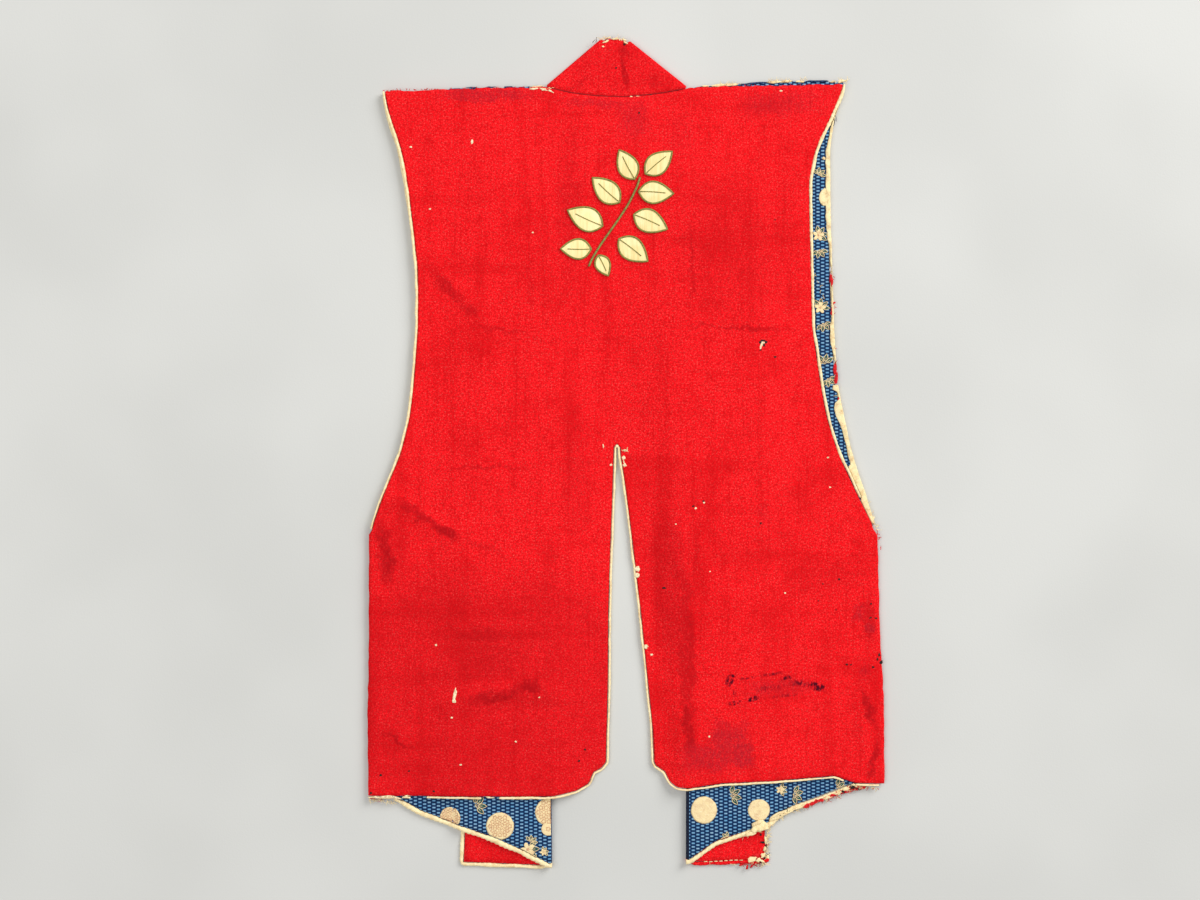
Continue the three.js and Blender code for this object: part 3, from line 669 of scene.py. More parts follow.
def scarlet_felted_wool(name, soiled):
    """Imported woollen cloth, fulled and napped: matte, mottled by its felt, with pale loose fibres and
    painted glints on its fuzz; when soiled, also stains, ink and painted fold shade.
    """
    material, tree, place = new_material(name)
    flat = add(tree, "VectorMath", {0: place, 1: (1, 1, 0)}, operation="MULTIPLY").outputs["Vector"]
    colour = linear(SCARLET)
    noises = []
    for across, upright, size, detail, roughness, low, high, most, tone in FELT:
        drawn = add(tree, "Mapping", {"Vector": flat, "Scale": (across, upright, 1)})
        noise = add(tree, "TexNoise", {"Vector": drawn.outputs["Vector"], "Scale": per(size),
                                       "Detail": detail, "Roughness": roughness}).outputs["Fac"]
        colour = layer(tree, colour, linear(tone), noise, low, high, most)
        noises.append(noise)
    clumps, fibres = (noises[row] for row in FELT_RELIEF)
    if soiled:
        upright = add(tree, "Mapping", {"Vector": flat, "Scale": (1, 0.45, 1)})
        brushed = add(tree, "TexNoise", {"Vector": upright.outputs["Vector"], "Scale": per(3.2),
                                         "Detail": 3.0, "Roughness": 0.7}).outputs["Fac"]
        for rows, squarer, far, size, left_over, tone in MARKED:
            share = stain_and_shade_share(tree, wandering(tree, flat, far, size), rows, squarer)
            whole = add(tree, "MapRange", {"Value": brushed, "From Min": 0.62, "From Max": 0.42,
                                           "To Min": left_over, "To Max": 1.0})
            share = add(tree, "Math", {0: share, 1: whole.outputs["Result"]}, operation="MULTIPLY")
            colour = layer(tree, colour, linear(tone), share.outputs["Value"], 0.0, 1.0)
    height = add(tree, "Math", {0: clumps, 1: fibres}, operation="ADD").outputs["Value"]
    finish_material(tree, colour, height, 0.7, Roughness=0.95, Specular_IOR_Level=0.08,
                    Sheen_Weight=0.1, Sheen_Roughness=0.6, Sheen_Tint=linear("#FF3A3A"))
    return material


BAR_PITCH = 5.1        # one column of woven bars to the next
BAR_ROW = 3.85         # one bar to the one below it, every other column half a bar lower
BAR_BODY = (0.92, 0.80)    # shares of those that a bar's blue body fills
BAR_FLOAT = (0.64, 0.40)   # shares that the pale float on it fills
BAR_SOFT = 0.07        # half the softness of a bar's edge, in the same shares


def blue_figured_silk():
    """Twill silk, blue bars with a pale float on a navy ground: a low sheen, worn pale in places."""
    material, tree, place = new_material("blue_figured_silk")
    axes = add(tree, "SeparateXYZ", {"Vector": place})
    column = add(tree, "Math", {0: axes.outputs["X"], 1: per(BAR_PITCH)}, operation="MULTIPLY").outputs[0]
    number = add(tree, "Math", {0: column}, operation="FLOOR").outputs[0]
    half = add(tree, "Math", {0: number, 1: 0.5}, operation="MULTIPLY").outputs[0]
    row = add(tree, "Math", {0: axes.outputs["Y"], 1: per(BAR_ROW), 2: half}, operation="MULTIPLY_ADD")
    apart = []
    for share in (column, row.outputs[0]):
        part = add(tree, "Math", {0: share}, operation="FRACT").outputs[0]
        centred = add(tree, "Math", {0: part, 1: 0.5}, operation="SUBTRACT").outputs[0]
        apart.append(add(tree, "Math", {0: centred}, operation="ABSOLUTE").outputs[0])
    wear = add(tree, "TexNoise", {"Vector": place, "Scale": per(6.0), "Detail": 3.0}).outputs["Fac"]
    colour = layer(tree, linear("#030E28"), linear("#0C203C"), wear, 0.35, 0.7)
    floats = layer(tree, linear("#649ABE"), linear("#8CB0C4"), wear, 0.35, 0.7)
    height = 0.0
    for (long, high), tone in ((BAR_BODY, linear("#0E3868")), (BAR_FLOAT, floats)):
        inside = 1.0
        for away, fill in zip(apart, (long, high)):
            within = add(tree, "MapRange", {"Value": away, "From Min": fill / 2 + BAR_SOFT,
                                            "From Max": fill / 2 - BAR_SOFT}).outputs["Result"]
            inside = add(tree, "Math", {0: inside, 1: within}, operation="MULTIPLY").outputs[0]
        colour = layer(tree, colour, tone, inside, 0.0, 1.0)
        height = add(tree, "Math", {0: height, 1: inside}, operation="ADD").outputs[0]
    finish_material(tree, colour, height, 0.2, Roughness=0.55, Specular_IOR_Level=0.1,
                    Sheen_Weight=0.02, Sheen_Roughness=0.5)
    return material


def worn_cream(name, main, shade, bright, thread, rub):
    """Old undyed silk braid or thread: cream, tan where it is rubbed, with its ply showing."""
    material, tree, place = new_material(name)
    patches = add(tree, "TexNoise", {"Vector": place, "Scale": per(7.0), "Detail": 4.0,
                                     "Roughness": 0.6}).outputs["Fac"]
    ply = add(tree, "TexNoise", {"Vector": place, "Scale": per(thread)}).outputs["Fac"]
    colour = layer(tree, linear(main), linear(shade), patches, 0.42, 0.72, rub)
    colour = layer(tree, colour, linear(bright), ply, 0.5, 0.75, 0.6)
    finish_material(tree, colour, ply, 0.4, Roughness=0.8, Specular_IOR_Level=0.2,
                    Sheen_Weight=0.12, Sheen_Roughness=0.5)
    return material


def dyed_thread(name, main, shade):
    """Silk thread of one dye, uneven along its length."""
    material, tree, place = new_material(name)
    ply = add(tree, "TexNoise", {"Vector": place, "Scale": per(1.8), "Detail": 3.0}).outputs["Fac"]
    colour = layer(tree, linear(main), linear(shade), ply, 0.35, 0.7)
    finish_material(tree, colour, ply, 0.25, Roughness=0.75, Specular_IOR_Level=0.25)
    return material


def cream_applique_silk():
    """Plain-woven cream silk, laid over the wool: fine upright creases and a faint thread line."""
    material, tree, place = new_material("cream_applique_silk")
    upright = add(tree, "Mapping", {"Vector": place, "Scale": (1, 0.08, 0.1)}).outputs["Vector"]
    lines = add(tree, "TexNoise", {"Vector": upright, "Scale": per(2.4)}).outputs["Fac"]
    patches = add(tree, "TexNoise", {"Vector": place, "Scale": per(14.0), "Detail": 3.0}).outputs["Fac"]
    colour = layer(tree, linear("#F4DFA0"), linear("#DDBF78"), lines, 0.4, 0.7, 0.6)
    colour = layer(tree, colour, linear("#FFEDB8"), patches, 0.45, 0.75, 0.5)
    finish_material(tree, colour, lines, 0.5, Roughness=0.6, Specular_IOR_Level=0.3,
                    Sheen_Weight=0.15, Sheen_Roughness=0.4)
    return material


def pale_floor():
    """Painted board: a matte light grey, a little uneven."""
    material, tree, place = new_material("painted_board")
    broad = add(tree, "TexNoise", {"Vector": place, "Scale": per(300.0)}).outputs["Fac"]
    fine = add(tree, "TexNoise", {"Vector": place, "Scale": per(2.0)}).outputs["Fac"]
    colour = layer(tree, linear("#C4C4C0"), linear("#CBCBC7"), broad, 0.3, 0.7)
    finish_material(tree, colour, fine, 0.1, Roughness=0.9, Specular_IOR_Level=0.1)
    return material


WOOL_FACE = scarlet_felted_wool("scarlet_felted_wool", True)
WOOL_PLAIN = scarlet_felted_wool("scarlet_felted_wool_unsoiled", False)
LINING_SILK = blue_figured_silk()
CREAM_BRAID = worn_cream("cream_silk_braid", "#F2DEAC", "#C8A26C", "#FFF4D2", 2.2, 0.6)
CREAM_RAG = worn_cream("cream_frayed_silk", "#EFDAA6", "#BC915E", "#FFF2CC", 1.4, 0.7)
APPLIQUE = cream_applique_silk()
OLIVE_CORD = dyed_thread("olive_couched_cord", "#8F8B48", "#6B6A34")
WOVEN_CREAM = worn_cream("cream_woven_float", "#EAD3A0", "#C79C78", "#FAEAC4", 1.6, 0.5)
WOVEN_ROSE = dyed_thread("rose_woven_float", "#D2A27E", "#BE8C68")
WOVEN_GREEN = dyed_thread("green_woven_float", "#2C5A50", "#173C40")
# the collar seam's thread, darkened as painted shade of its groove
SEAM_SHADE_THREAD = dyed_thread("scarlet_thread_seam_shade", "#A00A12", "#6E060C")
DARK_THREAD = dyed_thread("dark_soiled_thread", "#160E0E", "#32201A")
LINT = dyed_thread("white_lint", "#F2E2BC", "#C9B084")
RED_THREAD = dyed_thread("scarlet_thread", "#DC161E", "#A2060E")
NAVY_SCRAP = dyed_thread("navy_silk_scrap", "#0C1E3E", "#2C4A74")
# painted shade for the right lining where it turns over the fold
NAVY_FOLD_SHADE = dyed_thread("navy_silk", "#0A1428", "#101E38")
FLOOR_PAINT = pale_floor()

# ---- Making meshes -----------------------------------------------------------------------------------


def make_piece(name, made, materials, node=None, choice=None):
    """A piece of the garment from its points and faces, standing for the solid `node` if it has one."""
    points, faces = made
    mesh = bpy.data.meshes.new(name)
    mesh.from_pydata((np.asarray(points) * MM).tolist(), [], [list(map(int, f)) for f in faces])
    for material in materials:
        mesh.materials.append(material)
    if choice is not None:
        mesh.polygons.foreach_set("material_index", np.asarray(choice, np.int32))
    mesh.polygons.foreach_set("use_smooth", np.ones(len(mesh.polygons), bool))
    mesh.update()
    piece = bpy.data.objects.new(name, mesh)
    bpy.context.scene.collection.objects.link(piece)
    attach(piece, "root")
    if node:
        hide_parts(node)
    return piece


WELDS = 20             # points that fall on the same twentieth of a millimetre are one
EDGE_ROUND = 0.3       # how far a wall's faces stop short of its edge, as a share of its thickness


def shell(name, points, thickness, materials, node=None, normals=None, skip=None):
    """A wall of cloth round a grid of points, with rounded edges, lying flat if it has no normals.
    `skip` marks cells that are cut away."""
    if normals is None:
        normals = np.zeros_like(points) + (0.0, 0.0, 1.0)
    flat = points.reshape(-1, 3)
    _, first, number = np.unique(np.round(flat * WELDS).astype(np.int64), axis=0,
                                 return_index=True, return_inverse=True)
    number = number.reshape(points.shape[:2])
    middle = flat[first]
    up = normals.reshape(-1, 3)[first]
    count = len(middle)
    cells = np.stack([number[:-1, :-1], number[1:, :-1], number[1:, 1:], number[:-1, 1:]], -1)
    cells = cells.reshape(-1, 4) if skip is None else cells[~skip]
    ends = np.roll(cells, -1, axis=1)
    open_edge = ~np.isin(cells * count + ends, ends * count + cells)
    a = cells[open_edge]
    b = ends[open_edge]
    along = middle[b] - middle[a]
    along /= np.linalg.norm(along, axis=1, keepdims=True)
    out = np.zeros_like(middle)
    sideways = np.cross(along, up[a])
    np.add.at(out, a, sideways)
    np.add.at(out, b, sideways)
    out /= np.maximum(1e-9, np.linalg.norm(out, axis=1, keepdims=True))
    drawn_in = out * thickness * EDGE_ROUND
    upper = middle + up * thickness / 2 - drawn_in
    lower = middle - up * thickness / 2 - drawn_in
    every = np.concatenate([upper, lower, middle])
    low_rim = np.stack([a + count, b + count, b + 2 * count, a + 2 * count], -1)
    top_rim = np.stack([a + 2 * count, b + 2 * count, b, a], -1)
    faces = np.concatenate([cells, cells[:, ::-1] + count, low_rim, top_rim])
    used, packed = np.unique(faces, return_inverse=True)
    choice = np.zeros(len(faces), int)
    choice[len(cells):2 * len(cells)] = len(materials) - 1
    return make_piece(name, (every[used], packed.reshape(faces.shape)), materials, node, choice)


def merged(parts):
    """Several (points, faces) as one."""
    points = []
    faces = []
    start = 0
    for part_points, part_faces in parts:
        points.append(part_points)
        faces.extend([[i + start for i in face] for face in part_faces])
        start += len(part_points)
    return np.concatenate(points), faces


def skinned(rings, closed=False):
    """Points and faces of a skin over rings of points, with flat ends unless it is closed."""
    count, sides = rings.shape[:2]
    faces = []
    for i in range(count - (0 if closed else 1)):
        k = (i + 1) % count
        for j in range(sides):
            m = (j + 1) % sides
            faces.append([i * sides + j, k * sides + j, k * sides + m, i * sides + m])
    if not closed:
        faces.append(list(range(sides)))
        last = (count - 1) * sides
        faces.append([last + j for j in reversed(range(sides))])
    return rings.reshape(-1, 3), faces


def tube(path, radius, sides=6, closed=False):
    """A round cord along a path, with flat ends unless it is closed; `radius` may change along it."""
    path = np.asarray(path, float)
    ahead = np.roll(path, -1, axis=0) - np.roll(path, 1, axis=0)
    if not closed:
        ahead[0] = path[1] - path[0]
        ahead[-1] = path[-1] - path[-2]
    ahead /= np.maximum(1e-9, np.linalg.norm(ahead, axis=1, keepdims=True))
    across = np.cross(ahead, (0.0, 0.0, 1.0))
    across /= np.maximum(1e-9, np.linalg.norm(across, axis=1, keepdims=True))
    up = np.cross(across, ahead)
    size = np.broadcast_to(radius, len(path))[:, None]
    angles = np.arange(sides) * 2 * math.pi / sides
    lines = [path + size * (across * math.cos(t) + up * math.sin(t)) for t in angles]
    return skinned(np.stack(lines, 1), closed)


def laid(flat, surface, lift):
    """Points (x, y) put `lift` above a surface."""
    return np.column_stack([flat, surface(flat[:, 0], flat[:, 1]) + lift])


# Rings of a small domed plate from its edge inwards: share of its outline, share of its thickness.
DOME = ((0.97, 0.0), (1.0, 0.35), (0.9, 0.8), (0.6, 1.0), (0.3, 1.05))


def dome(outline, surface, lift, thick):
    """A thin closed plate over an outline round its middle, rising softly from its edge."""
    outline = np.asarray(outline, float)
    centre = outline.mean(0)
    count = len(outline)
    rings = []
    for scale, rise in DOME:
        ring = laid(centre + (outline - centre) * scale, surface, lift)
        ring[:, 2] += thick * rise
        rings.append(ring)
    below = float(surface(centre[0], centre[1])) + lift
    top = [*centre, below + thick * DOME[-1][1]]
    bottom = [*centre, below]
    points = np.concatenate([*rings, [top, bottom]])
    faces = []
    for r in range(len(rings) - 1):
        for j in range(count):
            k = (j + 1) % count
            faces.append([r * count + j, r * count + k, (r + 1) * count + k, (r + 1) * count + j])
    for j in range(count):
        k = (j + 1) % count
        faces.append([(len(rings) - 1) * count + j, (len(rings) - 1) * count + k, len(points) - 2])
        faces.append([k, j, len(points) - 1])
    return points, faces


def round_outline(x, y, wide, high, turn, ragged, seed, count):
    """An oval about (x, y) of those half sizes, counter-clockwise, with a ragged edge."""
    angles = np.arange(count) * 2 * math.pi / count
    reach = 1 + np.random.default_rng(seed).uniform(-ragged, ragged, count)
    flat = np.column_stack([wide * reach * np.cos(angles), high * reach * np.sin(angles)])
    return flat @ turned(turn) + (x, y)


def turned(degrees):
    """What turns rows of (x, y) by an angle."""
    c = math.cos(math.radians(degrees))
    s = math.sin(math.radians(degrees))
    return np.array([[c, s], [-s, c]])


# ---- The back ----------------------------------------------------------------------------------------

BACK_CELL_X = 3.0
BACK_CELL_Y = 4.2
BACK_STOPS = (LAPEL_TOP + LAPEL_SLOPE, LAPEL_TOP, SINK_START, SINK_END, VENT_TOP, VENT_OPEN,
              UNDERARM, SEAM_START)


def row_heights(top, bottom, stops, cell, ends):
    """Heights of the rows from the top edge through the stops to the hem, and each stop's row."""
    rows = [top]
    rows_at = []
    for start, stop, length in zip([top, *stops], [*stops, bottom],
                                   -np.diff([ends[0], *stops, ends[1]])):
        count = max(1, round(length / cell))
        rows.extend(mix(start, stop, i / count) + 0 * top for i in range(1, count + 1))
        rows_at.append(len(rows) - 1)
    return np.stack(rows), dict(zip(stops, rows_at))


def back_lines(side):
    """The lines, each x by y, that the back's points follow on one side."""
    inward = -side.sign

    def outer(y):
        return edge_x(side.back, y) + inward * np.where(y > SEAM_START + 1, INSET, 0.0)

    def centre(y):
        cut = read_smooth(VENT, "y", side.vent, y) + side.sign * INSET
        return np.where(y >= VENT_TOP - 1, CENTRE_BACK, cut)

    lines = [
        outer,
        lambda y: edge_x(side.back, y) + inward * SIDE_MARGIN,
        lambda y: slope_x(side, y),
        lambda y: lapel_x(side, y),
        lambda y: fold_x(side, y),
    ]
    for inside in SINK_LINES:
        lines.append(lambda y, inside=inside: fold_x(side, y) + inward * inside)
    for t in VENT_STEPS:
        lines.append(lambda y, t=t: mix(fold_x(side, y) + inward * SINK_LINES[-1], centre(y), t))
    return lines


SPACED_AT = np.array(100.0)    # the height where the spacing of the lines is measured


def subdivided(lines, cell):
    """The same lines with more between them, about `cell` apart."""
    columns = []
    for a, b in zip(lines, lines[1:]):
        count = max(1, round(float(abs(b(SPACED_AT) - a(SPACED_AT))) / cell))
        for i in range(count):
            columns.append(lambda y, a=a, b=b, t=i / count: mix(a(y), b(y), t))
    columns.append(lines[-1])
    return columns


def back_half(side):
    """Points of one half of the back, from its side edge to its middle, and the row of each stop."""
    lines = subdivided(back_lines(side), BACK_CELL_X)
    top_x = np.array([float(line(np.array(SHOULDER_Y))) for line in lines])
    hem_x = np.array([float(line(np.array(BACK_HEM_Y))) for line in lines])
    left_foot, right_foot = COLLAR_FOLDS.left.foot[0], COLLAR_FOLDS.right.foot[0]
    open_shoulder = (top_x < left_foot - 3) | (top_x > right_foot + 3)
    frayed = jitter(top_x, *SHOULDER_FRAY) + jitter(top_x, *SHOULDER_WANDER)
    top = read(SHOULDER, "x", "back", top_x) + np.where(open_shoulder, frayed, 0)
    bottom = read(side.back_hem, "x", "y", hem_x) + INSET
    y, rows_at = row_heights(top, bottom, BACK_STOPS, BACK_CELL_Y, (SHOULDER_Y, BACK_HEM_Y))
    x = np.stack([line(y[:, c]) for c, line in enumerate(lines)], 1)
    side_seam = (y < SEAM_START) & (np.arange(x.shape[1]) == 0)
    x = x + np.where(side_seam, jitter(y, *SIDE_WANDER), 0)
    z = back_underside(side, x, y) + BACK_WALL / 2
    return np.stack([x, y, z], -1), rows_at


back_left, rows_at = back_half(LEFT)
back_right, _ = back_half(RIGHT)
vent_row = rows_at[VENT_TOP]
back_right[:vent_row + 1, -1] = back_left[:vent_row + 1, -1]
back_points = np.concatenate([back_left, back_right[:, ::-1]], 1)
back_skip = np.zeros((back_points.shape[0] - 1, back_points.shape[1] - 1), bool)
back_skip[:, back_left.shape[1] - 1] = True
back = shell("back_panel", back_points, BACK_WALL, [WOOL_FACE, LINING_SILK], "back",
             skip=back_skip)

# ---- Fronts, lapels and their lining -----------------------------------------------------------------

FRONT_CELL = 5.0
FRONT_STOPS = (LAPEL_TOP + LAPEL_SLOPE, LAPEL_TOP, UNDERARM, SEAM_START)
FOLD_STEPS = 10

WOOL_LAYER = SimpleNamespace(turn=WOOL_TURN, height=WOOL / 2, side_short=0.0)
LINING_LAYER = SimpleNamespace(turn=LINING_TURN, height=WOOL + GAP + LINING / 2, side_short=LINING_SHORT)
WOOL_TOP_SHORT = 1.5   # the wool stops this far below the lining at the shoulders
LAPEL_EASE = 12.0      # over this height a lapel's worn band gives way to the wool

# How far the lining's top edge is torn away along the shoulders.
SHOULDER_TORN = table("x short", [
    (-270, 2.4),
    (-199, 2.4),
    (-194, 0.2),
    (-157, 0.2),
    (-153, 2.2),
    (-137, 2.2),
    (-132, 0),
    (-92, 0),
    (-86, 1.6),
    (75, 1.6),
    (84, 0),
    (243, 0),
])


def front_grid(side, layer):
    """Points of one front from its outer edge over the fold to the lapel's edge, and their normals."""
    sign = side.sign

    def axis(y):
        return fold_x(side, y) + sign * FOLD_REACH

    def outer(y):
        taper = np.clip((LINING_TAPER - y) / (LINING_TAPER - UNDERARM), 0, 1)
        short = np.maximum(INSET, layer.side_short * taper)
        return edge_x(side.front, y) - sign * np.where(y < SEAM_START + 1, layer.side_short, short)

    def lapel_edge(y):
        worn = side.lapel_worn * ease((HEM_TOP_Y - y) / LAPEL_EASE)
        return lapel_x(side, y) - sign * (GAP + LAPEL_BAND - worn)

    def top(x):
        if layer is WOOL_LAYER:
            return read(SHOULDER, "x", "front", x) - WOOL_TOP_SHORT
        frayed = jitter(x, *LINING_FRAY) - read(SHOULDER_TORN, "x", "short", x)
        return read(SHOULDER, "x", "front", x) + frayed

    def hem(x):
        return read(side.front_hem, "x", "y", x) + GAP + HEM_BAND

    def lapel_hem(x):
        t = np.clip((x - side.fold_hem) / (sign * side.lapel_hem), 0, 1)
        return mix(side.fold_hem_end, side.lapel_hem_y, t) + GAP + LAPEL_BAND

    flats = subdivided([outer, lambda y: slope_x(side, y), lambda y: lapel_x(side, y), axis], FRONT_CELL)
    unders = subdivided([axis, lapel_edge], FRONT_CELL)[1:]
    turns = np.linspace(0, 1, FOLD_STEPS + 1)[1:]
    shoulder = np.array(SHOULDER_Y)
    tops = []
    bottoms = []
    for line in flats:
        tops.append(top(line(shoulder)))
        bottoms.append(hem(line(np.array(FRONT_HEM_Y))))
    axis_x = axis(shoulder)
    for _ in turns:
        tops.append(top(axis_x))
        bottoms.append(hem(axis(np.array(LAPEL_HEM_Y))))
    for line in unders:
        tops.append(top(axis_x))
        bottoms.append(lapel_hem(line(np.array(LAPEL_HEM_Y))))
    y, at = row_heights(np.array(tops, float), np.array(bottoms, float), FRONT_STOPS, FRONT_CELL,
                        (SHOULDER_Y, FRONT_HEM_Y))
    points = np.zeros((*y.shape, 3))
    normals = np.zeros((*y.shape, 3))
    for c in range(y.shape[1]):
        here = y[:, c]
        if c < len(flats):
            x = flats[c](here)
            z = front_lift(side, x, here) + layer.height
            out, up = 0.0, 1.0
        elif c < len(flats) + len(turns):
            turn = turns[c - len(flats)] * math.pi
            out, up = -sign * math.sin(turn), math.cos(turn)
            x = axis(here) + layer.turn * out
            lift = FRONT_WAVES * waves(axis(here), here) * (1 + up) / 2
            z = FOLD_MIDDLE + layer.turn * up + lift
        else:
            x = unders[c - len(flats) - len(turns)](here)
            z = FOLD_MIDDLE - layer.turn + 0 * here
            out, up = 0.0, -1.0
        points[:, c] = np.stack([x, here, z], -1)
        normals[:, c] = (out, 0.0, up)
    skip = np.zeros((y.shape[0] - 1, y.shape[1] - 1), bool)
    skip[:at[LAPEL_TOP], len(flats) - 1:] = True
    return SimpleNamespace(points=points, normals=normals, skip=skip, flats=len(flats),
                           lapel_row=at[LAPEL_TOP], lapel_column=len(flats) + len(turns) - 1)


def front_shell(side, grid, kind, thickness, material):
    """One layer of a front as a piece, its grid's columns put from left to right."""
    step = slice(None) if side.sign < 0 else slice(None, None, -1)
    return shell(f"{kind}_panel_{side.name}", grid.points[:, step], thickness, [material],
                 f"{kind}_{side.name}", grid.normals[:, step], grid.skip[:, step])


front_wool = {}
linings = {}
for side in SIDES:
    front_wool[side.name] = front_grid(side, WOOL_LAYER)
    silk_grid = front_grid(side, LINING_LAYER)
    front_shell(side, front_wool[side.name], "front", WOOL, WOOL_PLAIN)
    linings[side.name] = front_shell(side, silk_grid, "lining", LINING, LINING_SILK)

# The right lining is painted a plain dark navy where it turns over the fold: painted shade on the fold's
# rounded side.
linings["right"].data.materials.append(NAVY_FOLD_SHADE)
for polygon in linings["right"].data.polygons:
    x, y, _ = polygon.center / MM
    if x < fold_x(RIGHT, y) + FOLD_REACH:
        polygon.material_index = 1

# ---- The collar --------------------------------------------------------------------------------------

COLLAR_LEVEL = PANEL + COLLAR_WALL / 2
COLLAR_TURN = (COLLAR_LEVEL - COLLAR_WALL / 2) / 2
COLLAR_AXIS = COLLAR_WALL / 2 + COLLAR_TURN
COLLAR_ROWS = 14
COLLAR_COLUMNS = 44
COLLAR_UNDER = 24


def collar_top(share):
    """A point of the collar's arched top, a share of the way from its left corner."""
    left, right = COLLAR_FOLDS.left.head, COLLAR_FOLDS.right.head
    arch = COLLAR_RISE * 4 * share * (1 - share)
    return mix(left[0], right[0], share), mix(left[1], right[1], share) + arch


def collar_under(fold, t):
    """Points of one row from the slanted fold to the collar's end under the back."""
    x = mix(fold.foot[0], fold.head[0], t)
    y = mix(fold.foot[1], fold.head[1], t)
    run = (fold.head[0] - fold.foot[0], fold.head[1] - fold.foot[1])
    length = math.hypot(*run)
    sign = math.copysign(1, fold.foot[0] - fold.head[0])
    out = (sign * run[1] / length, -sign * run[0] / length)
    points = []
    normals = []
    for turn in np.linspace(0, math.pi, FOLD_STEPS + 1)[1:]:
        reach, up = math.sin(turn), math.cos(turn)
        points.append((x + out[0] * COLLAR_TURN * reach, y + out[1] * COLLAR_TURN * reach,
                       COLLAR_AXIS + COLLAR_TURN * up))
        normals.append((out[0] * reach, out[1] * reach, up))
    for share in np.linspace(0, 1, COLLAR_UNDER + 1)[1:]:
        points.append((x, mix(y, COLLAR_END, share), COLLAR_AXIS - COLLAR_TURN))
        normals.append((0.0, 0.0, -1.0))
    return points, normals


# The collar's soft upright crease, in shares of its width, and the puff on both sides of it.
COLLAR_CREASE = SimpleNamespace(at=0.56, wide=0.03, deep=0.9)
COLLAR_PUFF = 0.5
COLLAR_PUFF_FROM = 0.15


def collar_swell(share, t):
    """How far the collar's face stands up from its level."""
    crease = -COLLAR_CREASE.deep * np.exp(-(((share - COLLAR_CREASE.at) / COLLAR_CREASE.wide) ** 2))
    upright = math.sin(math.pi * min(1.0, t + COLLAR_PUFF_FROM))
    return (crease + COLLAR_PUFF * math.sin(math.pi * share)) * upright


collar_points = []
collar_normals = []
for t in np.linspace(1, 0, COLLAR_ROWS + 1):
    row = []
    for share in np.linspace(0, 1, COLLAR_COLUMNS + 1):
        neck_x = mix(COLLAR_FOLDS.left.foot[0], COLLAR_FOLDS.right.foot[0], share)
        neck_y = read(SHOULDER, "x", "back", neck_x) + GAP
        neck_y = mix(neck_y, COLLAR_FOLDS.left.foot[1], max(0.0, 1 - share * COLLAR_COLUMNS))
        neck_y = mix(neck_y, COLLAR_FOLDS.right.foot[1], max(0.0, 1 - (1 - share) * COLLAR_COLUMNS))
        top_x, top_y = collar_top(share)
        row.append((mix(neck_x, top_x, t), mix(neck_y, top_y, t), COLLAR_LEVEL + collar_swell(share, t)))
    left, left_normals = collar_under(COLLAR_FOLDS.left, t)
    right, right_normals = collar_under(COLLAR_FOLDS.right, t)
    collar_points.append([*left[::-1], *row, *right])
    collar_normals.append([*left_normals[::-1], *[(0.0, 0.0, 1.0)] * len(row), *right_normals])
collar = shell("collar_band", np.array(collar_points), COLLAR_WALL, [WOOL_FACE], "collar",
               np.array(collar_normals))

# ---- Bindings and bands ------------------------------------------------------------------------------

CORD_STEP = 1.5        # one ring of a binding to the next
CORD_SIDES = 10
CORD_PITCH = 5.5       # length of one twist of its plies
CORD_LOBES = 2
CORD_SWELL = (9.0, 0.16)   # one swelling to the next, and its share of the width
CORD_NUBS = (2.6, 0.08)    # the same for its small nubs
CORD_STRAY = (11.0, 0.35)  # how far it strays from its line
CORD_RISE = 0.25       # how much its top rises with a swelling
CORD_GONE = 0.22       # narrower than this share, a binding is worn away
CORD_SHORTEST = 3      # rings that a stretch needs to be left at all
CORD_START = 650       # where its unevenness begins on the jitter's stretch
ROLLED_BELOW = -447.0  # the right lapel's hem is a rolled edge of the wool itself

# Kinds of binding: width, how far the plies stand out as a share of the thickness, the axis by which
# its wear is given, and a seed.
HEM_CORD = SimpleNamespace(width=BINDING, twist=0.10, by="x", seed=31)
ARMHOLE_CORD = SimpleNamespace(width=BINDING, twist=0.10, by="y", seed=41)
FRONT_CORD = SimpleNamespace(width=BINDING, twist=0.06, by="y", seed=51)
HEM_BAND_CORD = SimpleNamespace(width=HEM_BAND, twist=0.13, by="x", seed=61)
LAPEL_CORD = SimpleNamespace(width=LAPEL_BAND, twist=0.08, by="y", seed=71)
COLLAR_CORD = SimpleNamespace(width=COLLAR_EDGE, twist=0.15, by="x", seed=81)


def along_edge(edge):
    """Edge points (x, y, low, high) again, evenly spaced, with the direction to their right."""
    edge = np.asarray(edge, float)
    run = np.concatenate([[0], np.cumsum(np.hypot(*np.diff(edge[:, :2], axis=0).T))])
    places = np.linspace(0, run[-1], max(3, int(run[-1] / CORD_STEP)))
    spaced = np.stack([np.interp(places, run, column) for column in edge.T], 1)
    ahead = np.gradient(spaced[:, :2], axis=0)
    for _ in range(3):
        ahead[1:-1] = (ahead[:-2] + 2 * ahead[1:-1] + ahead[2:]) / 4
    ahead /= np.linalg.norm(ahead, axis=1, keepdims=True)
    right = np.column_stack([ahead[:, 1], -ahead[:, 0]])
    return spaced, places, right


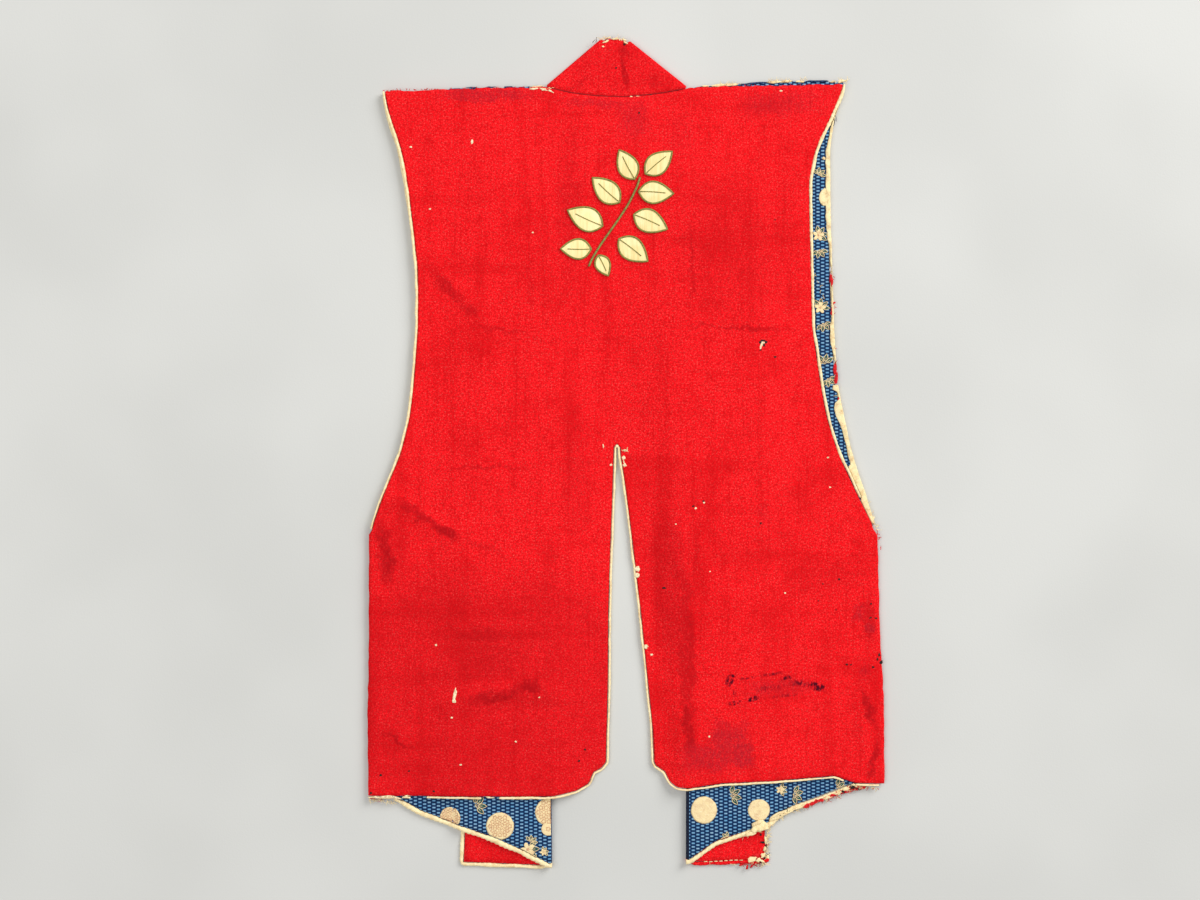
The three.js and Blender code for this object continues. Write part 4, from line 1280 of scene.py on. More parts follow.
def cord_along(edge, cord, worn):
    """A twisted binding along an edge, on its right, worn away where its fullness is near zero."""
    width, seed = cord.width, cord.seed
    spaced, places, right = along_edge(edge)
    along = places - CORD_START
    uneven = 1 + jitter(along, *CORD_SWELL, seed) + jitter(along, *CORD_NUBS, seed + 1)
    fullness = np.interp(spaced[:, "xy".index(cord.by)], *np.array(worn, float).T)
    half = width / 2 * uneven * fullness
    middle = spaced[:, :2] + right * (GAP + width / 2 + jitter(along, *CORD_STRAY, seed + 2))[:, None]
    low, high = spaced[:, 2], spaced[:, 3] + CORD_RISE * (uneven - 1)
    angles = np.arange(CORD_SIDES) * 2 * math.pi / CORD_SIDES
    parts = []
    shown = half > CORD_GONE * width
    starts = np.flatnonzero(shown & ~np.roll(shown, 1))
    if shown[0]:
        starts = np.unique(np.append(starts, 0))
    for start in starts:
        stop = start
        while stop < len(shown) and shown[stop]:
            stop += 1
        if stop - start < CORD_SHORTEST:
            continue
        span = slice(start, stop)
        lines = []
        for angle in angles:
            lobes = 1 + cord.twist * np.cos(CORD_LOBES * angle - 2 * math.pi * places[span] / CORD_PITCH)
            across = half[span] * math.cos(angle) * lobes
            height = (high[span] - low[span]) / 2 * (1 + math.sin(angle) * lobes)
            flat = middle[span] + right[span] * across[:, None]
            lines.append(np.column_stack([flat, low[span] + height]))
        parts.append(skinned(np.stack(lines, 1)))
    return merged(parts)


def with_heights(points, low, high):
    """Edge points (x, y, low, high), their heights counted from the points' own."""
    return np.column_stack([points[:, :2], points[:, 2] + low, points[:, 2] + high])


def outward(side, edge):
    """The order of edge points that puts their right-hand side outside the garment."""
    return edge if side.sign < 0 else edge[::-1]


# How full each binding still is: rows of its place and its share of the width.
HEM_WORN = {
    "left": [(-284, 0.6), (-280, 0.5), (-262, 0.75), (-250, 0.35), (-238, 0.6), (-235, 0), (-222, 0),
             (-219, 0.75), (-160, 0.8), (-156, 0), (-142, 0), (-138, 0.9), (-60, 0.8), (20, 0.8)],
    "right": [(-20, 0.8), (60, 0.75), (140, 0.8), (205, 0.7), (216, 0.5), (232, 0.8), (240, 0.7), (243, 0),
              (251, 0), (254, 0.8), (272, 0.6), (279, 0.7), (282, 0)],
}
ARMHOLE_WORN = {
    "left": [(-84, 0.6), (0, 0.9), (150, 1.0), (260, 1.05), (340, 1.15), (380, 0.9), (400, 0.6)],
    "right": [(-84, 0), (-70, 0), (-66, 0.6), (-62, 0), (-52, 0), (-48, 0.8), (0, 1.0), (120, 1.05),
              (240, 1.0), (300, 1.15), (380, 1.25), (398, 1.1), (402, 0.8)],
}
FRONT_WORN = {
    "left": [(-84, 0.6), (400, 0.9)],
    "right": [(-84, 0.3), (-78, 0.5), (-60, 0.8), (-40, 1.0), (52, 1.0), (62, 0.75), (74, 0.6), (78, 0),
              (99, 0), (102, 0.7), (150, 1.0), (188, 0.8), (192, 0.4), (204, 0.5), (220, 1.0), (300, 1.1),
              (350, 0.9), (400, 0.5)],
}
HEM_BAND_WORN = {
    "left": [(-258, 0.0), (-254, 0.5), (-240, 1.0), (-80, 1.0)],
    "right": [(60, 0.8), (122, 0.8), (134, 1.1), (158, 1.1), (170, 0.8), (190, 0.7), (206, 0.6),
              (222, 0.6), (236, 0.5), (248, 0.5), (252, 0.0), (260, 0.0)],
}
LAPEL_WORN = {
    "left": [(-460, 1.0), (0, 1.0)],
    "right": [(-460, 1.0), (-447, 1.0), (-443, 0.4), (-436, 0.3), (-424, 0.45), (-418, 0.25),
              (-404, 0.3), (-396, 1.0)],
}
COLLAR_WORN = [(-30, 0.9), (-17, 0.9), (-14, 0.35), (-7, 0.35), (-4, 0.9), (6, 0.9)]

# Heights of the bindings' feet and tops, from the middle of the cloth they are on.
BACK_BOUND = (-BACK_WALL / 2, BACK_WALL / 2 + PROUD)
FRONT_BOUND = (FLOOR_CLEAR - WOOL / 2, LINING_TOP - WOOL / 2)
HEM_BAND_BOUND = (FRONT_BOUND[0], FRONT_BOUND[1] + 0.5)
COLLAR_EDGE_ENDS = (0.92, 0.08)    # shares of the way along the collar's top


def bind(side, name, node, edge, cord, worn):
    """One cream binding or band of a side as a piece."""
    made = cord_along(edge, cord, worn[side.name])
    make_piece(f"{name}_{side.name}", made, [CREAM_BRAID], f"{node}_{side.name}")


for side, half_points in ((LEFT, back_left), (RIGHT, back_right)):
    vent_and_hem = np.concatenate([half_points[vent_row:, -1], half_points[-1, ::-1][1:]])
    edge = outward(side, with_heights(vent_and_hem, *BACK_BOUND))[::-1]
    bind(side, "hem_binding", "binding_hem", edge, HEM_CORD, HEM_WORN)
    edge = outward(side, with_heights(half_points[:rows_at[UNDERARM] + 1, 0], *BACK_BOUND))
    bind(side, "armhole_binding", "binding_armhole", edge, ARMHOLE_CORD, ARMHOLE_WORN)

for side in SIDES:
    grid = front_wool[side.name]
    arm = grid.points[:, 0]
    edge = outward(side, with_heights(arm[arm[:, 1] > UNDERARM - 1], *FRONT_BOUND))
    bind(side, "front_armhole_binding", "front_binding", edge, FRONT_CORD, FRONT_WORN)

    hem = grid.points[-1, :grid.flats]
    hem = hem[np.abs(hem[:, 0] - hem[0, 0]) > LINING_SHORT]
    last = hem[-1] - (side.sign * FOLD_REACH, 0, 0)
    edge = outward(side, with_heights(np.concatenate([hem, [last]]), *HEM_BAND_BOUND))
    bind(side, "front_hem_band", "hem_band", edge, HEM_BAND_CORD, HEM_BAND_WORN)

    lapel = grid.points[-1, grid.lapel_column:-1]
    first = lapel[0] - (side.sign * FOLD_REACH, 0, 0)
    upright = grid.points[grid.lapel_row:, -1][::-1]
    edge = np.concatenate([[first], lapel, upright]) * (1, 1, 0)
    edge = outward(side, with_heights(edge, FLOOR_CLEAR, LAPEL_TOP_FACE))[::-1]
    points, faces = cord_along(edge, LAPEL_CORD, LAPEL_WORN[side.name])
    rolled = [side is RIGHT and points[face, 1].mean() < ROLLED_BELOW for face in faces]
    make_piece(f"lapel_edge_band_{side.name}", (points, faces), [CREAM_BRAID, WOOL_PLAIN],
               f"lapel_band_{side.name}", rolled)

top_run = [(*collar_top(share), COLLAR_LEVEL - COLLAR_WALL / 2, COLLAR_LEVEL + COLLAR_WALL / 2)
           for share in np.linspace(*COLLAR_EDGE_ENDS, 12)]
make_piece("collar_worn_edge", cord_along(top_run, COLLAR_CORD, COLLAR_WORN), [CREAM_RAG],
           "collar_edge")

# ---- The sprig on the upper back ---------------------------------------------------------------------

LEAF_LIFT = GAP
CORD_ROUND = 1.0       # radius of the couched cord round a leaf
VEIN_ROUND = 0.55
LEAF_BEND = 0.35       # where a leaf is widest, from its middle to its foot
LEAF_BORDER = 0.96     # the couched cord's line, as a share of the leaf
BORDER_LIFT = 0.7
VEIN_ENDS = (-0.44, 0.26)  # along the leaf, as shares of its length
VEIN_SWAY = 0.5
VEIN_LIFT = 0.1
VEIN_POINTS = 9


def leaf_outline(x, y, long, wide, turn, scale=1.0, count=16):
    """Both curved edges of a pointed leaf, counter-clockwise from its foot."""
    half = long / 2 * scale
    foot, bend, tip = -half, -half * LEAF_BEND, half
    ahead = np.linspace(0, 1, count, endpoint=False)
    edges = []
    for t, hand in ((ahead, -1), (1 - ahead, 1)):
        along = (1 - t) ** 2 * foot + 2 * t * (1 - t) * bend + t * t * tip
        edges.append(np.column_stack([along, hand * 2 * t * (1 - t) * wide * scale]))
    return np.concatenate(edges) @ turned(turn) + (x, y)


for i, (x, y, long, wide, turn) in enumerate(zip(*LEAVES.values())):
    leaf = dome(leaf_outline(x, y, long, wide, turn), back_top, LEAF_LIFT, LEAF_THICK)
    make_piece(f"sprig_leaf_{i + 1}", leaf, [APPLIQUE], f"leaf_{i + 1}")
    rim = leaf_outline(x, y, long, wide, turn, LEAF_BORDER)
    border = tube(laid(rim, back_top, LEAF_LIFT + BORDER_LIFT), CORD_ROUND, 8, True)
    sway = VEIN_SWAY * np.sin(np.linspace(0, 3, VEIN_POINTS))
    spine = np.column_stack([np.linspace(*VEIN_ENDS, VEIN_POINTS) * long, sway]) @ turned(turn) + (x, y)
    vein = tube(laid(spine, back_top, LEAF_LIFT + LEAF_THICK + VEIN_LIFT), VEIN_ROUND, 6)
    make_piece(f"leaf_cord_{i + 1}", merged([border, vein]), [OLIVE_CORD])

stem_y = np.linspace(STEM["y"][0], STEM["y"][-1], 40)
stem_x = read_smooth(STEM, "y", "x", stem_y, 8.0)
stem_path = laid(np.column_stack([stem_x, stem_y]), back_top, LEAF_LIFT + STEM_WIDE / 2)
make_piece("sprig_stem", tube(stem_path, STEM_WIDE / 2, 8), [OLIVE_CORD], "stem")

# ---- Torn facing on the right front, and woven motifs of the lining ----------------------------------

# How far the cream facing still reaches in from the right front's armhole edge.
FACING = table("y reach", [
    (402, 0.6),
    (372, 1.4),
    (350, 3.4),
    (330, 5),
    (306, 4.6),
    (262, 5.2),
    (240, 4.4),
    (222, 2),
    (204, 1.8),
    (190, 0.6),
    (166, 1.4),
    (150, 2.4),
    (138, 4.2),
    (120, 5),
    (104, 2),
    (99, 0.6),
    (79, 0.6),
    (77, 6),
    (70, 7.4),
    (67, 1.6),
    (59, 1.2),
    (56, 7.4),
    (48, 8.8),
    (40, 8.6),
    (34, 7),
    (25, 4.6),
    (3, 4.6),
    (-14, 6),
    (-17, 14),
    (-81, 14),
])
BARE_BELOW = -46.0     # lower down the back's binding is gone, and the facing reaches its wool
FACING_THICK = 0.9
FACING_COLUMNS = 7
FACING_TORN = ((99, 76), (195, 186))
FACING_LIFT = 0.15     # above the lining
FACING_SLIMMEST = 0.5
FACING_Y = (395.0, -80.0, -2.5)
FACING_PUFF = 0.4      # how far it stands up along its middle
WRINKLE = 0.2
WRINKLE_LONG = 4.1     # a wrinkle's length over 2 pi
BARE_EASE = 8.0        # the binding's end fades out over this height

facing_y = np.arange(*FACING_Y)
outer_edge = edge_x(RIGHT.front, facing_y) - GAP
reach = read(FACING, "y", "reach", facing_y) + jitter(facing_y, *FACING_FRAY)
bare = ease((BARE_BELOW - facing_y) / BARE_EASE)
beside_back = edge_x(RIGHT.back, facing_y) + 2 * GAP - bare * INSET
inner_edge = np.minimum(np.maximum(outer_edge - reach, beside_back), outer_edge - FACING_SLIMMEST)
facing = []
for t in np.linspace(0, 1, FACING_COLUMNS):
    x = mix(inner_edge, outer_edge, t)
    swell = WRINKLE * np.sin(facing_y / WRINKLE_LONG + 3.0 * t) + FACING_PUFF * math.sin(math.pi * t)
    z = front_lift(RIGHT, x, facing_y) + LINING_TOP + FACING_LIFT + FACING_THICK / 2 + swell
    facing.append(np.stack([x, facing_y, z], -1))
facing = np.stack(facing, 1)
facing_skip = np.zeros((facing.shape[0] - 1, facing.shape[1] - 1), bool)
for top, bottom in FACING_TORN:
    torn = (facing_y[:-1] < top) & (facing_y[:-1] > bottom)
    facing_skip[torn] = True
shell("armhole_facing_right", facing, FACING_THICK, [CREAM_RAG], skip=facing_skip)

MOTIF_THICK = 0.25
CLEAR_OF_FOLD = 0.8
CLEAR_OF_BAND = 0.6


def kept_inside(outline):
    """An outline on a lining, cut off at the fold and at the band of the hem."""
    side = LEFT if np.mean(outline[:, 0]) < CENTRE_BACK else RIGHT
    x, y = outline[:, 0], outline[:, 1]
    x = np.maximum(side.sign * x, side.sign * fold_x(side, y) + CLEAR_OF_FOLD) * side.sign
    y = np.maximum(y, read(side.front_hem, "x", "y", x) + HEM_BAND + CLEAR_OF_BAND)
    return np.column_stack([x, y])


ROUNDELS = table("x y wide high pitch", [
    (-193.6, -401.5, 11.5, 11.5, 4.6),
    (-138.6, -410.3, 15.4, 15.2, 5.4),
    (-84.7, -394.9, 15.4, 15.4, 5.8),
    (-85.5, -413.4, 7.6, 7.6, 5.6),
    (85.8, -392.7, 14.4, 15.2, 0),
    (146.3, -392.7, 12.2, 12.2, 0),
])
ROSETTE_ROWS = range(-4, 5)
ROSETTE_SIZE = 0.36    # a rosette's radius, as a share of the pitch
ROSETTE_RISE = 0.87    # one row of rosettes to the next, in the same share
ROSETTE_LINE = 0.32    # radius of the float that outlines a rosette
ROSETTE_LOBES = 5
ROSETTE_SCALLOP = 0.34

# A flower's petals, as shares of its size: how far out, half their length and half their width.
PETALS = 5
PETAL = SimpleNamespace(out=0.62, long=0.48, wide=0.34)
PETAL_POINTS = 9
FLOWER_TURN = 37.0     # from one flower to the next
FLOWER_EYE = SimpleNamespace(size=0.22, points=8)
ROUNDEL_POINTS = 26

# A spray's leaves, as shares of its size: how far out, the leaf's length and width, and its rim's.
LEAF_TURNS = (-62, -22, 24, 66)
SPRAY_LEAF = SimpleNamespace(out=0.55, long=0.56, wide=0.25, rim_long=0.66, rim_wide=0.33)
SPRAY_FLOWER = 0.5
RIM_LINE = 0.38
STALK_LINE = 0.3
STALK_BEND = 0.4

# How far above the lining each kind of float lies, the later over the earlier.
ROUNDEL_LIFT = 0.05
LEAF_FLOAT_LIFT = 0.08
LINE_LIFT = 0.3
RIM_LIFT = 0.35
STALK_LIFT = 0.4

cream_parts = []
rose_parts = []
green_parts = []


def beside(x, y, far, angle):
    """The point that lies `far` from (x, y) at an angle."""
    return x + far * math.cos(math.radians(angle)), y + far * math.sin(math.radians(angle))


def flower(x, y, size, seed):
    """A five-petalled flower, a petal's half length being about `size` / 2."""
    for k in range(PETALS):
        angle = seed * FLOWER_TURN + k * 360 / PETALS
        px, py = beside(x, y, PETAL.out * size, angle)
        petal = round_outline(px, py, size * PETAL.long, size * PETAL.wide, angle, 0.08, seed + k,
                              PETAL_POINTS)
        cream_parts.append(dome(kept_inside(petal), lining_top, LINE_LIFT, MOTIF_THICK))
    eye_size = size * FLOWER_EYE.size
    eye = round_outline(x, y, eye_size, eye_size, 0, 0.05, seed, FLOWER_EYE.points)
    rose_parts.append(dome(kept_inside(eye), lining_top, RIM_LIFT, MOTIF_THICK))


def rosette_line(x, y, size, turn):
    """The scalloped outline of a small flower head."""
    angles = np.linspace(0, 2 * math.pi, 20, endpoint=False)
    reach = size * (1 + ROSETTE_SCALLOP * np.cos(ROSETTE_LOBES * angles + turn))
    flat = kept_inside(np.column_stack([x + reach * np.cos(angles), y + reach * np.sin(angles)]))
    return tube(laid(flat, lining_top, LINE_LIFT), ROSETTE_LINE, 4, True)


for n, (x, y, wide, high, pitch) in enumerate(zip(*ROUNDELS.values())):
    outline = kept_inside(round_outline(x, y, wide, high, 0, 0.02, n, ROUNDEL_POINTS))
    cream_parts.append(dome(outline, lining_top, ROUNDEL_LIFT, MOTIF_THICK))
    if pitch == 0:
        continue
    for i in ROSETTE_ROWS:
        for j in ROSETTE_ROWS:
            across = (i + 0.5 * (j % 2)) * pitch
            up = j * pitch * ROSETTE_RISE
            size = ROSETTE_SIZE * pitch
            if math.hypot(across, up) < wide - size:
                rose_parts.append(rosette_line(x + across, y + up, size, 1.7 * i + 0.9 * j))

# Woven sprays: middle, size, direction, and whether a flower stands in them.
SPRAYS = table("x y size turn flower", [
    (-166, -388, 15, 20, 0),
    (-108, -436, 15, -20, 1),
    (-105, -428, 9, 60, 0),
    (-91, -439, 7, 30, 1),
    (115, -377, 14, 10, 0),
    (112, -424, 9, 160, 0),
    (170, -371, 9, 0, 1),
    (184, -376, 13, -10, 0),
    (232, -369, 12, 10, 0),
    (212, 306, 10, 60, 0),
    (212, 240, 12, 30, 1),
    (213, 224, 11, -80, 0),
    (214, 160, 12, 60, 1),
    (217, 143, 11, -70, 0),
    (219, 98, 13, 100, 0),
    (222, 82, 11, -60, 0),
])
for n, (x, y, size, turn, has_flower) in enumerate(zip(*SPRAYS.values())):
    for angle in turn + np.array(LEAF_TURNS):
        lx, ly = beside(x, y, SPRAY_LEAF.out * size, angle)
        leaf = leaf_outline(lx, ly, SPRAY_LEAF.long * size, SPRAY_LEAF.wide * size, angle, 1.0, 6)
        green_parts.append(dome(kept_inside(leaf), lining_top, LEAF_FLOAT_LIFT, MOTIF_THICK))
        rim = leaf_outline(lx, ly, SPRAY_LEAF.rim_long * size, SPRAY_LEAF.rim_wide * size, angle, 1.0, 6)
        cream_parts.append(tube(laid(kept_inside(rim), lining_top, RIM_LIFT), RIM_LINE, 4, True))
        stalk = np.array([[x, y], [(x + lx) / 2 + STALK_BEND, (y + ly) / 2], [lx, ly]])
        cream_parts.append(tube(laid(kept_inside(stalk), lining_top, STALK_LIFT), STALK_LINE, 4))
    if has_flower:
        flower(x, y, SPRAY_FLOWER * size, n)

for name, parts, material in (("woven_roundels_and_flowers", cream_parts, WOVEN_CREAM),
                              ("woven_rosettes", rose_parts, WOVEN_ROSE),
                              ("woven_leaves", green_parts, WOVEN_GREEN)):
    make_piece(name, merged(parts), [material])

# ---- Wear: holes, lint, scraps of torn edging --------------------------------------------------------


def level(height):
    """A flat surface at that height."""
    return lambda x, y: height + 0 * np.asarray(x, float)


def front_shoulder(x, y):
    """The lining's face at the shoulders, above the lapels' tops."""
    return LINING_TOP + FRONT_WAVES * waves(x, y)


lapel_top = level(LAPEL_TOP_FACE)
collar_face = level(COLLAR_LEVEL + COLLAR_WALL / 2)

# Small things on a surface: middle, half sizes, turn, raggedness, and thickness.
MARKS = "x y wide high turn ragged thick"
DARK_MARKS = table(MARKS, [
    (150.4, 123.6, 2.3, 1.2, 4, 0.4, 0.3),
    (147.4, 121.6, 1.2, 1.8, -10, 0.4, 0.3),
    (153.8, 121.7, 1.8, 1.5, -20, 0.4, 0.3),
    (151.4, 118.6, 1.6, 1.5, 30, 0.4, 0.3),
    (147.7, 113.4, 1.3, 0.9, 40, 0.4, 0.3),
    (163.9, 105.6, 1.4, 1.1, 0, 0.3, 0.3),
    (163.9, 256.3, 0.9, 0.8, 0, 0.3, 0.3),
    (14.3, 374, 1.2, 1, 0, 0.3, 0.3),
    (271.7, -235.4, 1.4, 1.2, 0, 0.3, 0.3),
    (242.4, -232.4, 1.4, 0.9, -8, 0.5, 0.3),
    (247.2, -233, 1.2, 0.8, 20, 0.5, 0.3),
    (-269.5, -354.2, 1.5, 1.3, 0, 0.3, 0.3),
    (-51.7, -338.8, 1.4, 1.2, 0, 0.3, 0.3),
    (-211.2, -371.8, 1.4, 1.2, 0, 0.3, 0.3),
    (-280.5, -374, 1.4, 1.2, 0, 0.3, 0.3),
    (-238.7, -349.8, 1.2, 1, 0, 0.3, 0.3),
    (-45.1, -326.7, 1.2, 1, 0, 0.3, 0.3),
    (41.8, -148.5, 2.3, 1.1, 5, 0.3, 0.3),
    (73.7, -58.3, 1.3, 1.1, 0, 0.3, 0.3),
    (84.7, -52.8, 1.2, 1, 0, 0.3, 0.3),
    (234.5, -138.8, 1.3, 1.2, 0, 0.3, 0.3),
    (216.5, -144, 0.9, 0.8, 0, 0.3, 0.3),
    (231, -172.5, 0.8, 0.7, 0, 0.3, 0.3),
    (211.5, -162.4, 0.8, 0.7, 0, 0.3, 0.3),
    (269.6, -166, 1, 0.9, 0, 0.3, 0.3),
    (269, -181, 1.5, 0.9, 20, 0.4, 0.3),
    (275.5, -181.8, 1.6, 0.9, -10, 0.4, 0.3),
    (279, -222, 1.2, 2.2, 10, 0.5, 0.3),
    (281, -230, 1.4, 2.4, -20, 0.5, 0.3),
    (277, -227, 1, 1.4, 0, 0.5, 0.3),
    (148, -77, 1.5, 1.2, 30, 0.4, 0.3),
])
LINT_MARKS = table(MARKS, [
    (150.4, 121.2, 1.9, 1.5, 0, 0.35, 0.4),
    (149, 119.3, 1.4, 1.2, 40, 0.35, 0.4),
    (148.1, 116.9, 3.2, 1.1, 72, 0.35, 0.4),
    (-188.2, -265, 7.2, 1.9, 80, 0.3, 0.5),
    (-189, -272, 2.6, 2.3, 60, 0.3, 0.5),
    (-209, -211, 1.3, 1.1, 0, 0.3, 0.4),
    (-191.4, -290.4, 1.2, 1, 0, 0.3, 0.4),
    (91.3, -311.3, 1.2, 1, 0, 0.3, 0.4),
    (170.5, 398.2, 1.3, 1.1, 0, 0.3, 0.4),
    (-215.6, 268.4, 1.2, 1, 0, 0.3, 0.4),
    (-169.4, 342.1, 2.6, 1.4, 80, 0.3, 0.4),
    (-236.5, 336.6, 1.3, 1.1, 0, 0.3, 0.4),
    (-102.3, 242, 1.1, 0.9, 0, 0.3, 0.4),
    (-181.5, -342.1, 1.3, 1.1, 0, 0.3, 0.4),
    (-121, -316.8, 1.2, 1, 0, 0.3, 0.4),
    (-25, 7.6, 0.8, 2, 10, 0.4, 0.5),
    (-0.6, 2.8, 2.2, 1.3, 0, 0.4, 0.5),
    (-2.6, -5.3, 1.6, 2.2, 0, 0.4, 0.5),
    (-2.6, -9.4, 0.6, 2.6, 10, 0.4, 0.5),
    (-1.6, -13.6, 2.3, 1.8, 0, 0.5, 0.5),
    (-16.4, -13.1, 1.4, 1.1, 0, 0.4, 0.5),
    (12.4, -128, 3.4, 3, 0, 0.3, 0.7),
    (12.4, -135, 2.8, 2.6, 0, 0.3, 0.7),
    (22, -213.4, 2.4, 2.6, 0, 0.3, 0.7),
    (28.4, -222.2, 1.6, 1.3, 0, 0.3, 0.6),
    (76.4, -60.6, 1.3, 1, 40, 0.4, 0.3),
    (85.4, -54.6, 1.2, 0.9, 0, 0.4, 0.3),
    (224.5, -37.7, 1.3, 1, 0, 0.4, 0.3),
    (174.8, -153.8, 1.1, 0.9, 0, 0.4, 0.3),
    (54.6, -78, 0.9, 0.7, 0, 0.4, 0.3),
    (-95, -268, 1, 0.8, 0, 0.3, 0.4),
    (222, -5, 1.3, 1, 0, 0.3, 0.4),
    (92, -130, 0.9, 0.8, 0, 0.3, 0.4),
    (-275, -378.4, 5, 1.5, -4, 0.5, 0.6),
    (-264, -377.8, 5.6, 1.6, 8, 0.5, 0.6),
    (-252, -378.8, 5, 1.3, -10, 0.5, 0.6),
    (-242, -377.6, 3.6, 1, 12, 0.5, 0.5),
    (-150, -378, 5, 1, 2, 0.5, 0.5),
    (-101, 400.4, 4.6, 0.9, 4, 0.5, 0.5),
    (-91, 400, 5.2, 1.2, -8, 0.5, 0.6),
    (-83, 398.2, 3.6, 0.9, -28, 0.5, 0.5),
])


MARK_LIFT = 0.02
SCRAP_LIFT = 0.3
SCRAP_POINTS = 11


def scattered(rows, surface, seed, lift):
    """The small things of a table, laid on a surface."""
    return merged([
        dome(round_outline(x, y, wide, high, turn, ragged, seed + n, SCRAP_POINTS), surface, lift, thick)
        for n, (x, y, wide, high, turn, ragged, thick) in enumerate(zip(*rows.values()))
    ])


for name, rows, seed, material in (("moth_holes_and_tar_specks", DARK_MARKS, 100, DARK_THREAD),
                                   ("lint_and_bared_threads", LINT_MARKS, 200, LINT)):
    make_piece(name, scattered(rows, back_top, seed, MARK_LIFT), [material])

# Scraps of the torn edging along the shoulders and the hems, by what they lie on.
SHOULDER_SCRAPS = table(MARKS, [
    (-98, 403.6, 6, 1, 6, 0.35, 0.8),
    (88, 404, 4.5, 1, 4, 0.3, 0.8),
    (102, 405, 8.5, 1.5, 2, 0.25, 0.9),
    (117, 405.6, 8, 1.4, 3, 0.25, 0.9),
    (163, 408.4, 7.5, 1.6, 3, 0.25, 0.9),
    (176, 409.4, 6.5, 1.5, 4, 0.3, 0.9),
    (193, 409.2, 5, 1.3, 2, 0.3, 0.9),
    (237, 409.4, 3.6, 1.8, 10, 0.4, 1),
    (228, 409.2, 3, 0.9, 6, 0.4, 0.8),
])
NAVY_SCRAPS = table(MARKS, [
    (-150, 403, 6, 0.8, 2, 0.5, 0.6),
    (-170, 402.6, 5, 0.7, 0, 0.5, 0.6),
    (-130, 403.4, 6, 0.8, 2, 0.5, 0.6),
    (140, 407.2, 14, 1, 4, 0.3, 0.6),
    (214, 409.8, 10, 1, 0, 0.3, 0.6),
    (203, 409.8, 5, 0.9, 0, 0.3, 0.6),
])
COLLAR_SCRAPS = table(MARKS, [
    (-30.8, 390.2, 1.8, 1.2, 20, 0.4, 0.7),
    (5.5, 391.2, 2.6, 1.4, 0, 0.4, 0.7),
    (13.4, 391.8, 2.2, 1.4, 0, 0.4, 0.7),
    (-25.3, 447.2, 1.4, 1.2, 0, 0.3, 0.5),
    (-22, 452.6, 3.5, 0.9, 25, 0.4, 0.8),
    (-12, 455.6, 4, 0.9, 8, 0.4, 0.8),
    (0, 451.4, 2.6, 0.9, -30, 0.4, 0.8),
])
COLLAR_DARK = table(MARKS, [
    (-11, 423.5, 1.1, 1, 0, 0.3, 0.4),
    (27.5, 393.6, 1.7, 1.2, 0, 0.3, 0.5),
    (-1.5, 449.5, 1.6, 1, -30, 0.3, 0.5),
])
HEM_SCRAPS = table(MARKS, [
    (148, -410.5, 10.5, 5.6, 14, 0.22, 1.6),
    (144, -407, 7, 2.2, 22, 0.3, 2.6),
    (151, -413, 8, 2.2, 12, 0.3, 2.8),
    (141, -414.5, 4.6, 3, 60, 0.35, 2.4),
    (136, -419, 6.5, 2.2, 18, 0.35, 1.4),
    (170, -398.5, 13, 3.4, 27, 0.16, 1.6),
    (165, -398.5, 8, 1.4, 30, 0.2, 2.4),
    (177, -396.5, 9, 1.3, 24, 0.2, 2.4),
    (191, -390.5, 8, 1.4, 22, 0.35, 1.2),
    (222, -379.4, 5, 1.5, 20, 0.5, 1.2),
    (234, -374.6, 4.6, 1.6, 16, 0.5, 1.2),
    (243, -369.6, 4.6, 2, 24, 0.5, 1.4),
    (252, -365.6, 3.6, 1.6, -20, 0.5, 1.6),
])
HEM_RED = table(MARKS, [
    (199, -389, 5, 1.7, 20, 0.5, 1.2),
    (207, -385.6, 4, 1.6, 22, 0.5, 1.2),
    (214, -383, 4, 1.4, 14, 0.5, 1.2),
    (228, -377.2, 4.2, 1.5, 16, 0.5, 1.2),
    (248, -369.6, 4, 1.6, 16, 0.5, 1.2),
    (256, -367.6, 4.6, 1.6, 4, 0.5, 1.2),
])
HEM_DARK = table(MARKS, [
    (249, -368.6, 3.4, 2, -10, 0.5, 1.6),
    (256, -369.6, 2.4, 1.2, -30, 0.5, 1.4),
    (238, -372.6, 2, 0.9, 10, 0.5, 1.2),
])
ARMHOLE_SCRAPS = table(MARKS, [
    (219, 281.6, 10, 6.4, 90, 0.06, 0.8),
    (217.8, 324.5, 2.2, 1.6, 0, 0.3, 0.6),
    (264.5, -55, 3, 1.6, 60, 0.4, 0.9),
    (268, -64, 2.4, 1.6, 70, 0.4, 0.9),
    (271.4, -73, 3.2, 1.4, 60, 0.4, 0.9),
])
ARMHOLE_RED = table(MARKS, [
    (225.6, 193, 5, 1.3, 84, 0.4, 0.8),
    (226.6, 156, 4, 1.2, 88, 0.4, 0.8),
    (230.2, 93, 7, 1.9, 86, 0.2, 0.8),
    (231.6, 82, 7, 1.9, 84, 0.2, 0.8),
    (226.6, 190, 6, 1.5, 88, 0.3, 0.8),
    (234.6, 58, 6, 1.4, 84, 0.4, 0.8),
    (229, 165, 2.4, 1.2, 60, 0.4, 0.8),
])
LAPEL_SCRAPS = table(MARKS, [
    (139, -447.5, 5.4, 2.4, 20, 0.4, 1.2),
    (147, -449, 5, 2.4, -20, 0.45, 1.2),
    (151, -443.5, 3.4, 2.2, 60, 0.4, 1.2),
    (153, -436, 3.6, 1.6, 80, 0.4, 1),
    (154, -426, 4, 1.5, 88, 0.4, 1),
])
